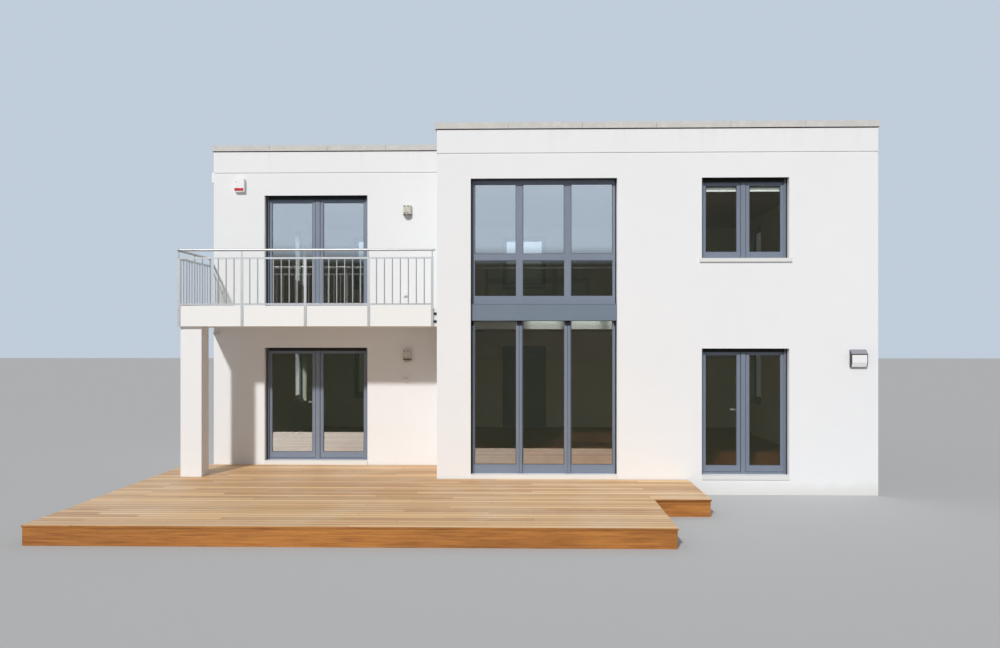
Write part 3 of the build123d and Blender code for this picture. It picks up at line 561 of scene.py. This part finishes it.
def add_ring(bm, x, z, width, depth, place):
    """Four bars round an upright rectangle, drawn inwards from it, between two depths."""
    for side in ((x[0], x[0] + width), (x[1] - width, x[1])):
        add_box(bm, side, depth, z, place)
    for side in ((z[0], z[0] + width), (z[1] - width, z[1])):
        add_box(bm, (x[0] + width, x[1] - width), depth, side, place)


def add_object(name, data):
    """A new object of the scene."""
    made = bpy.data.objects.new(name, data)
    bpy.context.scene.collection.objects.link(made)
    return made


def to_mesh(name, bm):
    """The mesh of a finished shape."""
    mesh = bpy.data.meshes.new(name)
    bm.to_mesh(mesh)
    bm.free()
    return mesh


def add_piece(name, bm, finish, body="house", smooth=False):
    """Makes an object of a finished shape, with its finish and the body it rides on."""
    mesh = to_mesh(name, bm)
    if smooth:
        for polygon in mesh.polygons:
            polygon.use_smooth = True
        mesh.set_sharp_from_angle(angle=math.radians(35.0))
    mesh.materials.append(finishes[finish])
    piece = add_object(name, mesh)
    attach(piece, body)
    return piece


def joined_copy(name):
    """The mesh of a CAD node with its loose triangles joined."""
    bm = bmesh.new()
    bm.from_mesh(nodes[name].data)
    bmesh.ops.remove_doubles(bm, verts=bm.verts, dist=0.00001)
    return bm


def solids_of(name):
    """Lowest and highest corner of each separate solid of a CAD node."""
    bm = joined_copy(name)
    waiting = set(bm.verts)
    corners = []
    while waiting:
        found = [waiting.pop()]
        for vert in found:
            for edge in vert.link_edges:
                other = edge.other_vert(vert)
                if other in waiting:
                    waiting.remove(other)
                    found.append(other)
        points = [vert.co for vert in found]
        low = Vector(min(point[axis] for point in points) for axis in range(3))
        high = Vector(max(point[axis] for point in points) for axis in range(3))
        corners.append((low, high))
    bm.free()
    return sorted(corners, key=lambda pair: tuple(pair[0]))


def wall_place(low, high):
    """The place of something flat in a wall, and its width and depth.

    Local X runs to the right as seen from outside, local Y into the house.
    """
    width, depth, _ = high - low
    middle = (low + high) / 2
    if width > depth:
        x, y, quarters = (low.x, low.y, 0) if middle.y < 0 else (high.x, high.y, 2)
    else:
        x, y, quarters = (high.x, low.y, 1) if middle.x > 0 else (low.x, high.y, -1)
        width, depth = depth, width
    turn = Matrix.Rotation(quarters * math.pi / 2, 4, "Z")
    return Matrix.Translation((x, y, low.z)) @ turn, width, depth


def inside(box, other, slack=0.05):
    """True if the middle of a box lies in another one, or within a little of it."""
    middle = (box[0] + box[1]) / 2
    return all(other[0][axis] - slack < middle[axis] < other[1][axis] + slack for axis in range(3))


# Windows and doors

shuttered_frames = (
    "upper_window_frame", "balcony_door_frame", "garden_door_frame", "terrace_door_frame"
)
door_leaves = ("garden_door_left", "garden_door_right", "terrace_door_left", "terrace_door_right")
reveal_depth = 0.160
guide_depth = 0.036
glass_inset = 0.020
stile_width = 0.062
leaf_gap = 0.006
jamb_width = 0.034


def add_gasket(bm, pane):
    """A black gasket round the edge of one pane, on both faces of the glass."""
    gasket_width = 0.006
    gasket_rise = 0.003
    place, width, depth = wall_place(*pane)
    height = pane[1].z - pane[0].z
    add_ring(bm, (0, width), (0, height), gasket_width, (-gasket_rise, depth + gasket_rise), place)


def add_leaf_gap_shade(bm, pane, frame_box):
    """A dark ring painted round a leaf that stays shut, in the corner of its frame's step: painted
    shade where the gap round the leaf would be.
    """
    gap_shade_rise = 0.0015
    gap_shade_depth = 0.004
    place, width, _ = wall_place(*pane)
    foot = frame_box[0].z + jamb_width - pane[0].z
    reach = stile_width + leaf_gap
    top = pane[1].z - pane[0].z + reach
    face = (-glass_inset - gap_shade_rise, -glass_inset + gap_shade_depth)
    add_ring(bm, (-reach, width + reach), (foot, top), leaf_gap, face, place)


def make_window_gaskets():
    """Gaskets of all panes, and painted shade in the gaps round the leaves that stay shut."""
    panes = solids_of("front_glass") + solids_of("rear_window_glass")
    gaskets = bmesh.new()
    for pane in panes:
        add_gasket(gaskets, pane)
    add_piece("window_gaskets", gaskets, "black_parts_and_painted_shade")
    # Dark rings of painted shade round the shut leaves, where the gaps would be.
    gap_shades = bmesh.new()
    for name in ("upper_window_frame", "balcony_door_frame", "rear_window_frames"):
        for frame_box in solids_of(name):
            for pane in panes:
                if inside(pane, frame_box):
                    add_leaf_gap_shade(gap_shades, pane, frame_box)
    add_piece("leaf_gap_painted_shade", gap_shades, "black_parts_and_painted_shade")
    for leaf in door_leaves:
        gasket = bmesh.new()
        add_gasket(gasket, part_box(f"{leaf}_glass"))
        add_piece(f"{leaf}_gasket", gasket, "black_parts_and_painted_shade", leaf)


def make_reveal_shade_strips():
    """Black strips beside the frames, and on the guide rails before them: painted shade where the
    gaps and shaded edges by the reveals look dark.
    """
    strip = 0.020
    rise = 0.002
    bm = bmesh.new()
    guides = solids_of("shutter_guides")
    for name in ("big_window_frame", *shuttered_frames):
        low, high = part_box(name)
        for x in ((low.x, low.x + strip), (high.x - strip, high.x)):
            beside = [
                guide for guide in guides
                if guide[0].x - near < x[0] and x[1] < guide[1].x + near
                and low.z - near < guide[0].z and guide[1].z < high.z + near
            ]
            bare_from = low.z
            for start, end in beside:
                add_box(bm, x, (start.y - rise, start.y), (start.z, end.z))
                bare_from = end.z
            if bare_from < high.z - near:
                add_box(bm, x, (low.y - rise, low.y), (bare_from, high.z))
    # Black strips of painted shade along the reveals.
    add_piece("reveal_painted_shade", bm, "black_parts_and_painted_shade")


def make_lintel_shade():
    """Dark plates under the lintels, from the outer face of the wall to the guide rails: painted
    shade on the soffits.
    """
    setback = 0.006
    thickness = 0.004
    shade_plates = bmesh.new()
    for name in shuttered_frames:
        low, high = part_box(name)
        x = (low.x + setback, high.x - setback)
        y = (low.y - reveal_depth + setback, low.y - guide_depth)
        add_box(shade_plates, x, y, (high.z - thickness, high.z))
    # The plates are painted shade in the dark shutter finish.
    add_piece("lintel_painted_shade", shade_plates, "shutter_dark")


def make_coping_shadow_line():
    """A black strip round the walls, right under the coping: painted shadow of the coping's
    overhang.
    """
    proud = 0.003
    z = (coping_base - 0.014, coping_base)
    line = bmesh.new()
    corners = (
        (left_side, wing_side), (step_side, wing_side), (step_side, front_side),
        (right_side, front_side), (right_side, back_side), (left_side, back_side),
    )
    for start, end in zip(corners, corners[1:] + corners[:1]):
        x, y = (sorted(pair) for pair in zip(start, end))
        add_box(line, (x[0] - proud, x[1] + proud), (y[0] - proud, y[1] + proud), z)
    # A line of painted shadow under the coping.
    add_piece("coping_painted_shadow", line, "black_parts_and_painted_shade")


def make_pleated_blinds():
    """The gathered blinds of the small upper window: a pleated pack over a white rail."""
    pleats = 6
    pleat_height = 0.064 / pleats
    pack_edge = 0.004
    rail_edge = 0.002
    rail_height = 0.030
    rail_rise = 0.004
    blind_depth = 0.024
    behind = 0.010
    packs = bmesh.new()
    rails = bmesh.new()
    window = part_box("upper_window_frame")
    for pane in solids_of("front_glass"):
        if not inside(pane, window):
            continue
        place, width, depth = wall_place(*pane)
        top = pane[1].z - pane[0].z
        y = depth + behind
        for index in range(pleats):
            high = top - index * pleat_height
            z = (high - pleat_height, high)
            x = (pack_edge, width - pack_edge)
            verts = add_box(packs, x, (y, y + blind_depth), z, place)
            front_edges = [
                edge for edge in edges_of(verts)
                if all(vert.co.y < pane[1].y + behind + near for vert in edge.verts)
            ]
            bevel(packs, front_edges, pleat_height * 0.35, 1)
        low = top - pleats * pleat_height - rail_height
        x = (rail_edge, width - rail_edge)
        z = (low, low + rail_height)
        add_soft_box(rails, x, (y - rail_rise, y + blind_depth), z, 0.004, 2, place)
    add_piece("blind_packs", packs, "blind_grey")
    add_piece("blind_rails", rails, "blind_white", smooth=True)


def make_sill_trim():
    """End caps of the metal sills, turned up against the reveals."""
    cap_width = 0.004
    cap_depth = 0.038
    rise = 0.022
    bm = bmesh.new()
    for low, high in solids_of("window_sills"):
        place, width, _ = wall_place(low, high)
        top = high.z - low.z + rise
        for x in (-cap_width, width):
            across = (x, x + cap_width)
            add_soft_box(bm, across, (0.0, cap_depth), (0.0, top), 0.0015, 1, place)
    add_piece("sill_end_caps", bm, "sill_metal")


def make_entrance_door_trim():
    """Grooves, bar handle and lock of the plain door at the back; each groove, the leaf's outline
    and the key slot are black strips of painted shade.
    """
    low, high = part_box("entrance_door")
    place, width, _ = wall_place(low, high)
    side = jamb_width + stile_width
    leaf_face = 0.012
    sunk = leaf_face + 0.002

    groove_count = 5
    groove_edge = side + 0.02
    groove_half = 0.004
    groove_face = (leaf_face - 0.0015, sunk)
    outline_face = (leaf_face - 0.001, sunk)
    outline_width = 0.005
    foot = 0.110
    head = high.z - low.z - 0.112
    # Each groove and the outline of the leaf are black strips of painted shade.
    groove_shades = bmesh.new()
    for index in range(1, groove_count + 1):
        z = foot + (head - foot) * index / (groove_count + 1)
        x = (groove_edge, width - groove_edge)
        add_box(groove_shades, x, groove_face, (z - groove_half, z + groove_half), place)
    add_ring(groove_shades, (side, width - side), (foot, head), outline_width, outline_face, place)
    add_piece("entrance_door_groove_shade", groove_shades, "black_parts_and_painted_shade")

    handle_x = side + 0.085
    handle_low, handle_high = 0.65, 1.55
    foot_low, foot_high = 0.77, 1.43
    stand_off = -0.052
    lock_x = side + 0.035
    lock_z = 1.05
    metal = bmesh.new()
    for x, y, z, radius, segments in (
        (handle_x, (stand_off, stand_off), (handle_low, handle_high), 0.016, 24),
        (handle_x, (leaf_face, stand_off), (foot_low, foot_low), 0.009, 16),
        (handle_x, (leaf_face, stand_off), (foot_high, foot_high), 0.009, 16),
        (lock_x, (leaf_face, leaf_face - 0.008), (lock_z, lock_z), 0.024, 24),
    ):
        start, end = (place @ Vector(point) for point in zip((x, x), y, z))
        add_rod(metal, start, end, radius, segments)
    add_piece("entrance_door_handle", metal, "handle_metal", smooth=True)

    slit_x = (lock_x - 0.0015, lock_x + 0.0015)
    slit_z = (lock_z - 0.011, lock_z + 0.006)
    # The key slot is a black strip of painted shade.
    key = bmesh.new()
    add_box(key, slit_x, (leaf_face - 0.009, leaf_face - 0.0075), slit_z, place)
    add_piece("entrance_door_keyhole", key, "black_parts_and_painted_shade")


make_window_gaskets()
make_reveal_shade_strips()
make_lintel_shade()
make_coping_shadow_line()
make_pleated_blinds()
make_sill_trim()
make_entrance_door_trim()


# Deck

board_edge = 0.0025
least_row = 0.02
least_board = 0.5
end_gap = 0.003
pillar_gap = 0.005
joist_width = 0.060
joists_a_board = 7
row_starts = (0, 3, 1, 4, 2)
screw_radius = 0.0045
screw_rise = 0.0003
screw_shares = (0.22, 0.78)
screw_margin = 0.02


def joist_middles():
    """Middles of the joists that run under the whole deck."""
    return sorted(
        (low.x + high.x) / 2
        for low, high in solids_of("deck_joists")
        if abs(high.x - low.x - joist_width) < near
    )


def row_run(y):
    """The stretch along X that a row of boards covers."""
    middle = (y[0] + y[1]) / 2
    if middle > house_front:
        return deck_low.x, step_side
    if middle > strip_front:
        return deck_low.x, deck_high.x
    return deck_low.x, deck_right


def cut_lengths(run, joists, row):
    """The boards of one run: their ends meet over joists, staggered from row to row."""
    cuts = [
        joist for index, joist in enumerate(joists)
        if index % joists_a_board == row_starts[row % len(row_starts)]
        and run[0] + least_board < joist < run[1] - least_board
    ]
    edges = [run[0], *cuts, run[1]]
    return list(zip(edges[:-1], edges[1:]))


def board_blocks(x, y):
    """The blocks of one board: a single one, or several round the pillar."""
    low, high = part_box("balcony_pillar")
    notch_x = (low.x - pillar_gap, high.x + pillar_gap)
    notch_y = (low.y - pillar_gap, high.y + pillar_gap)
    if x[1] <= notch_x[0] or x[0] >= notch_x[1] or y[1] <= notch_y[0] or y[0] >= notch_y[1]:
        return [(x, y)]
    beside = (max(x[0], notch_x[0]), min(x[1], notch_x[1]))
    blocks = (
        ((x[0], notch_x[0]), y),
        ((notch_x[1], x[1]), y),
        (beside, (y[0], notch_y[0])),
        (beside, (notch_y[1], y[1])),
    )
    return [block for block in blocks if all(start < end - near for start, end in block)]


def add_screws(bm, block, joists, y):
    """Two screw heads where a block of a board lies on each joist."""
    (low_x, high_x), (low_y, high_y) = block
    for joist in joists:
        for share in screw_shares:
            screw_y = y[0] + (y[1] - y[0]) * share
            over_joist = low_x + screw_margin < joist < high_x - screw_margin
            if over_joist and low_y < screw_y < high_y:
                place = Matrix.Translation((joist, screw_y, deck_high.z + screw_rise))
                bmesh.ops.create_circle(
                    bm, cap_ends=True, segments=8, radius=screw_radius, matrix=place
                )


def add_board_block(bm, block):
    """One block of a board, with the long edges of its top rounded."""
    verts = add_box(bm, *block, (deck_low.z, deck_high.z))
    long_edges = [
        edge for edge in edges_of(verts)
        if all(vert.co.z > deck_high.z - near for vert in edge.verts)
        and abs(edge.verts[0].co.y - edge.verts[1].co.y) < near
    ]
    bevel(bm, long_edges, board_edge)


def make_deck():
    """The deck's boards, each with its own tone, and two screws at each joist."""
    joists = joist_middles()
    bm = bmesh.new()
    tone_layer = bm.faces.layers.float.new("board_tone")
    screws = bmesh.new()
    rows = math.ceil((deck_high.y - least_row - deck_low.y) / board_pitch)
    for row in range(rows):
        y = deck_low.y + row * board_pitch
        across = (y, min(y + board_pitch - board_gap, deck_high.y))
        run = row_run(across)
        for start, end in cut_lengths(run, joists, row):
            low_x = start + (end_gap / 2 if start > run[0] else 0.0)
            high_x = end - (end_gap / 2 if end < run[1] else 0.0)
            before = set(bm.faces)
            for block in board_blocks((low_x, high_x), across):
                add_board_block(bm, block)
                add_screws(screws, block, joists, across)
            tone = scatter.random()
            for face in set(bm.faces) - before:
                face[tone_layer] = tone
    boards = add_piece("deck_planks", bm, "deck_timber")
    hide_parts("deck_boards")
    add_piece("deck_screws", screws, "screw_metal")


make_deck()


# Fixings of the balcony railing

fascia_low, fascia_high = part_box("balcony_fascia")
post_width = 0.045
post_depth = 0.012
second_rail_top = 4.111
handrail_thickness = 0.042


def post_middles(name, axis):
    """Middles of the flat posts of a railing along X (0) or Y (1), read from its lowest edges."""
    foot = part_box(name)[0].z
    points = [vert.co for vert in nodes[name].data.vertices]
    edges = sorted({round(point[axis], 3) for point in points if point.z < foot + near})
    return [
        (start + end) / 2
        for start, end in zip(edges[::2], edges[1::2])
        if end - start < post_width + near
    ]


def add_post_rod(bm, post, distances, levels, radius, segments, end_radius=None):
    """A rod at a post, between two distances from the fascia and between two levels.

    A post is its middle on the face of the fascia and the way it faces, both as (x, y).
    """
    (x, y), (out_x, out_y) = post
    start, end = [
        (x + out_x * distance, y + out_y * distance, level)
        for distance, level in zip(distances, levels)
    ]
    add_rod(bm, start, end, radius, segments, end_radius)


def make_railing_fixings():
    """Two domed bolts in each post, and collars where the pins meet the rails."""
    bolt_inset = 0.075
    bolt_rise = 0.006
    bolt_radius = 0.009
    dome_radius = bolt_radius * 0.6
    posts = [((x, fascia_low.y), (0, -1)) for x in post_middles("balcony_front_railing", 0)]
    posts += [((fascia_low.x, y), (-1, 0)) for y in post_middles("balcony_side_railing", 1)]
    bolts = bmesh.new()
    face = (post_depth, post_depth + bolt_rise)
    for z in (fascia_low.z + bolt_inset, fascia_high.z - bolt_inset):
        for post in posts:
            add_post_rod(bolts, post, face, (z, z), bolt_radius, 12, dome_radius)
    add_piece("post_bolts", bolts, "screw_metal", smooth=True)

    handrail_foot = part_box("balcony_front_railing")[1].z - handrail_thickness
    lower_collar = (second_rail_top, second_rail_top + 0.006)
    upper_collar = (handrail_foot - 0.003, handrail_foot + 0.004)
    middle = (post_depth / 2, post_depth / 2)
    collars = bmesh.new()
    for post in posts:
        add_post_rod(collars, post, middle, lower_collar, 0.013, 16)
        add_post_rod(collars, post, middle, upper_collar, 0.012, 16)
    add_piece("pin_collars", collars, "railing_metal", smooth=True)


def make_wall_brackets():
    """Two dark brackets that hold the last post to the side wall, each with a bolt."""
    half_height = 0.018
    overlap = 0.002
    bolt_inset = 0.030
    bolt_rise = 0.008
    bolt_radius = 0.010
    post_edge = max(post_middles("balcony_front_railing", 0)) + post_width / 2
    bolt_x = post_edge + bolt_inset
    x = (post_edge - overlap, step_side)
    y = (fascia_low.y - 0.010, fascia_low.y + 0.016)
    bm = bmesh.new()
    for z in (fascia_low.z + 0.085, fascia_low.z + 0.220):
        add_soft_box(bm, x, y, (z - half_height, z + half_height), 0.003)
        add_rod(bm, (bolt_x, y[0], z), (bolt_x, y[0] - bolt_rise, z), bolt_radius, 6)
    add_piece("wall_brackets", bm, "black_parts_and_painted_shade")


make_railing_fixings()
make_wall_brackets()


# Lamps and small fittings


def slice_of(name, box, low_z, high_z, grow):
    """A slice of one solid of a CAD node between two levels, a little larger than the solid."""
    bm = joined_copy(name)
    outside = [
        vert for vert in bm.verts
        if not all(box[0][axis] - near < vert.co[axis] < box[1][axis] + near for axis in (0, 2))
    ]
    bmesh.ops.delete(bm, geom=outside, context="VERTS")
    for level, up in ((low_z, -1.0), (high_z, 1.0)):
        parts = bm.verts[:] + bm.edges[:] + bm.faces[:]
        bmesh.ops.bisect_plane(
            bm, geom=parts, plane_co=(0, 0, level), plane_no=(0, 0, up), clear_outer=True
        )
    bmesh.ops.holes_fill(bm, edges=bm.edges[:])
    bmesh.ops.dissolve_limit(bm, angle_limit=0.01, verts=bm.verts[:], edges=bm.edges[:])
    bm.normal_update()
    for vert in bm.verts:
        vert.co += vert.normal * grow
    return bm


def make_wall_lamps():
    """Bowl lamps: a pale glass held by four dark pins over a band and a round metal foot."""
    glass_rise = 0.003
    band_rise = 0.005
    band_shares = (0.20, 0.28)
    pin_x = (0.024, 0.094)
    pin_low = 0.024
    pin_high = 0.022
    pin_depth = 0.02
    pin_rise = 0.006
    pin_radius = 0.011
    lamps = sorted(solids_of("wall_lamps"), key=lambda pair: pair[0].z)
    for level, (low, high) in zip(("lower", "upper"), lamps):
        band_low, band_high = (low.z + share * (high.z - low.z) for share in band_shares)
        glass = slice_of("wall_lamps", (low, high), band_high, high.z, glass_rise)
        add_piece(f"{level}_lamp_glass", glass, "lamp_glass", smooth=True)
        band = slice_of("wall_lamps", (low, high), band_low, band_high, band_rise)
        add_piece(f"{level}_lamp_band", band, "lamp_dark", smooth=True)
        pins = bmesh.new()
        front_y = low.y - glass_rise
        for x in (low.x + pin_x[0], low.x + pin_x[1]):
            for z in (band_high + pin_low, high.z - pin_high):
                add_rod(pins, (x, front_y + pin_depth, z), (x, front_y - pin_rise, z), pin_radius)
        add_piece(f"{level}_lamp_pins", pins, "lamp_dark", smooth=True)


def make_alarm_details():
    """The red lens low on the alarm box and a small round button."""
    lens_half = 0.088
    lens_z = (0.018, 0.076)
    lens_depth = 0.02
    rise = 0.003
    button_x = 0.048
    button_drop = 0.075
    button_depth = 0.004
    button_radius = 0.009
    low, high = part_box("alarm_box")
    middle = (low.x + high.x) / 2
    lens = bmesh.new()
    x = (middle - lens_half, middle + lens_half)
    z = (low.z + lens_z[0], low.z + lens_z[1])
    add_soft_box(lens, x, (low.y - rise, low.y + lens_depth), z, 0.006, 3)
    add_piece("alarm_lens", lens, "lens_red", smooth=True)
    x = low.x + button_x
    z = high.z - button_drop
    button = bmesh.new()
    add_rod(button, (x, low.y + button_depth, z), (x, low.y - rise, z), button_radius)
    add_piece("alarm_button", button, "button_blue", smooth=True)


def make_number_lamp_details():
    """The pale face of the number lamp in two planes, and its grey lid."""
    edge = 0.014
    rise = 0.002
    low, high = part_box("house_number_lamp")
    verts = nodes["house_number_lamp"].data.vertices
    points = {(round(vert.co.y, 4), round(vert.co.z, 4)) for vert in verts}
    front = [point for point in points if point[0] < low.y + near]
    foot = min(point for point in points if point[1] < low.z + near)
    bend = min(front, key=lambda point: point[1])
    top = max(front, key=lambda point: point[1])
    crown = max(points, key=lambda point: point[1])
    face = bmesh.new()
    x = (low.x + edge, high.x - edge)
    add_sheet(face, x, foot, bend, (edge / 3, 0.0), rise)
    add_sheet(face, x, bend, top, (0.0, edge), rise)
    add_piece("number_face", face, "number_white")
    lid = bmesh.new()
    x = (low.x + edge / 2, high.x - edge / 2)
    add_sheet(lid, x, top, crown, (edge / 2, edge / 2), rise)
    add_piece("number_lid", lid, "number_lid_grey")


def make_socket_lids(sockets):
    """Hinged lids of the sockets, each with a round hinge at its top and a dark grip low down."""
    lid_edge = 0.006
    lid_head = 0.016
    lid_rise = 0.007
    lid_depth = 0.004
    hinge_edge = 0.010
    hinge_drop = 0.011
    hinge_rise = 0.002
    hinge_radius = 0.004
    grip_edge = 0.030
    grip_z = (0.010, 0.014)
    grip_rise = (0.0085, 0.006)
    lids = bmesh.new()
    grips = bmesh.new()
    for low, high in sockets:
        x = (low.x + lid_edge, high.x - lid_edge)
        z = (low.z + lid_edge, high.z - lid_head)
        add_soft_box(lids, x, (low.y - lid_rise, low.y + lid_depth), z, 0.004, 3)
        y, z = low.y - hinge_rise, high.z - hinge_drop
        add_rod(lids, (low.x + hinge_edge, y, z), (high.x - hinge_edge, y, z), hinge_radius)
        x = (low.x + grip_edge, high.x - grip_edge)
        y = (low.y - grip_rise[0], low.y - grip_rise[1])
        add_box(grips, x, y, (low.z + grip_z[0], low.z + grip_z[1]))
    add_piece("socket_lids", lids, "fitting_white", smooth=True)
    add_piece("socket_grips", grips, "black_parts_and_painted_shade")


def make_spot_details(low, high):
    """The lens of the round spotlight, and the dark seam round its casing."""
    middle = (low + high) / 2
    for name, finish, slot, y, rise, radius in (
        ("spot_lens", "lamp_glass", "fitting_white", low.y, 0.002, 0.034),
        ("spot_seam", "black_parts_and_painted_shade", "inlet_black", low.y + 0.024, -0.002, 0.0425),
    ):
        bm = bmesh.new()
        start, end = (middle.x, y + rise, middle.z), (middle.x, y - rise, middle.z)
        add_rod(bm, start, end, radius, 32)
        add_piece(name, bm, finish, smooth=True)


def make_side_light_lens(low, high):
    """The lens of the light on the left wall."""
    rise = 0.003
    depth = 0.01
    edge = 0.012
    head = 0.060
    lens = bmesh.new()
    y = (low.y + edge, high.y - edge)
    z = (low.z + edge, high.z - head)
    add_soft_box(lens, (low.x - rise, low.x + depth), y, z, 0.003)
    add_piece("side_light_lens", lens, "lamp_glass", smooth=True)


def make_small_details():
    """What sits on the sockets, the spotlight and the side light, told apart by their places."""
    socket_from = -4.0
    boxes = solids_of("small_fittings")
    on_front = [box for box in boxes if box[1].x > left_side + 0.01]
    make_socket_lids([box for box in on_front if box[0].x > socket_from])
    make_spot_details(*next(box for box in on_front if box[0].x <= socket_from))
    make_side_light_lens(*next(box for box in boxes if box not in on_front))


make_wall_lamps()
make_alarm_details()
make_number_lamp_details()
make_small_details()


# Floor, light and camera


def make_stage():
    """A plain pale floor under the house, which the windows mirror as a darker ground."""
    bm = bmesh.new()
    bmesh.ops.create_grid(bm, x_segments=1, y_segments=1, size=120.0)
    floor = add_object("stage_floor", to_mesh("stage_floor", bm))
    floor.location = (0.0, 0.0, -0.002)
    material, tree, _ = start_material("stage_floor")
    mirrored = add(tree, "ShaderNodeLightPath").outputs["Is Glossy Ray"]
    tone = mixed(tree, mirrored, (0.56, 0.57, 0.58), (0.06, 0.07, 0.045))
    surface(material, tone, 0.9, None, {"Specular IOR Level": 0.0})
    floor.data.materials.append(material)


def make_world():
    """Even white light.

    The camera and clear glass see a pale blue-grey. Gloss sees a pale sky over a darker horizon,
    which gives the upper windows their sheen and leaves the lower ones clear.
    """
    world = bpy.data.worlds.new("soft_sky")
    bpy.context.scene.world = world
    world.use_nodes = True
    tree = world.node_tree
    plain = tree.nodes["Background"]
    plain.inputs["Color"].default_value = (0.93, 0.96, 1.0, 1.0)
    plain.inputs["Strength"].default_value = 0.34
    path = add(tree, "ShaderNodeLightPath").outputs
    towards = axes(tree, add(tree, "ShaderNodeTexCoord").outputs["Generated"])
    open_side = ranged(tree, towards["X"], 0.15, 0.20, 1.0, 0.0)
    sky = calc(tree, "MULTIPLY", ranged(tree, towards["Z"], 0.085, 0.105), open_side)
    mirrored = mixed(tree, sky, (0.045, 0.05, 0.038), (0.90, 1.07, 1.27))
    tone = mixed(tree, path["Is Glossy Ray"], (0.53, 0.61, 0.70), mirrored)
    seen = add(tree, "ShaderNodeBackground", {"Color": tone, "Strength": 1.0})
    direct = calc(tree, "ADD", path["Is Camera Ray"], path["Is Glossy Ray"])
    direct = calc(tree, "ADD", direct, path["Is Transmission Ray"], clamp=True)
    shaders = {0: direct, 1: plain.outputs[0], 2: seen.outputs[0]}
    blend = add(tree, "ShaderNodeMixShader", shaders)
    join(tree, blend.outputs[0], tree.nodes["World Output"].inputs["Surface"])


def make_sun():
    """One broad soft light from the front left, high up."""
    data = bpy.data.lights.new("soft_sun", "SUN")
    data.energy = 2.55
    data.angle = math.radians(3.0)
    data.color = (1.0, 0.985, 0.965)
    lamp = add_object("soft_sun", data)
    lamp.rotation_euler = Vector((0.30, 1.0, -0.645)).to_track_quat("-Z", "Y").to_euler()


def make_camera():
    """The view of the photograph: level, slightly turned, with its horizon below the middle."""
    data = bpy.data.cameras.new("front_view")
    data.lens = 32.35
    data.sensor_width = 36.0
    data.shift_y = 0.01725
    data.clip_end = 400.0
    camera = add_object("front_view", data)
    camera.location = (-0.078, -20.032, 2.6445)
    camera.rotation_euler = (math.pi / 2, 0.0, math.radians(1.358))
    bpy.context.scene.camera = camera


make_stage()
make_world()
make_sun()
make_camera()
bpy.context.scene.view_settings.view_transform = "Standard"
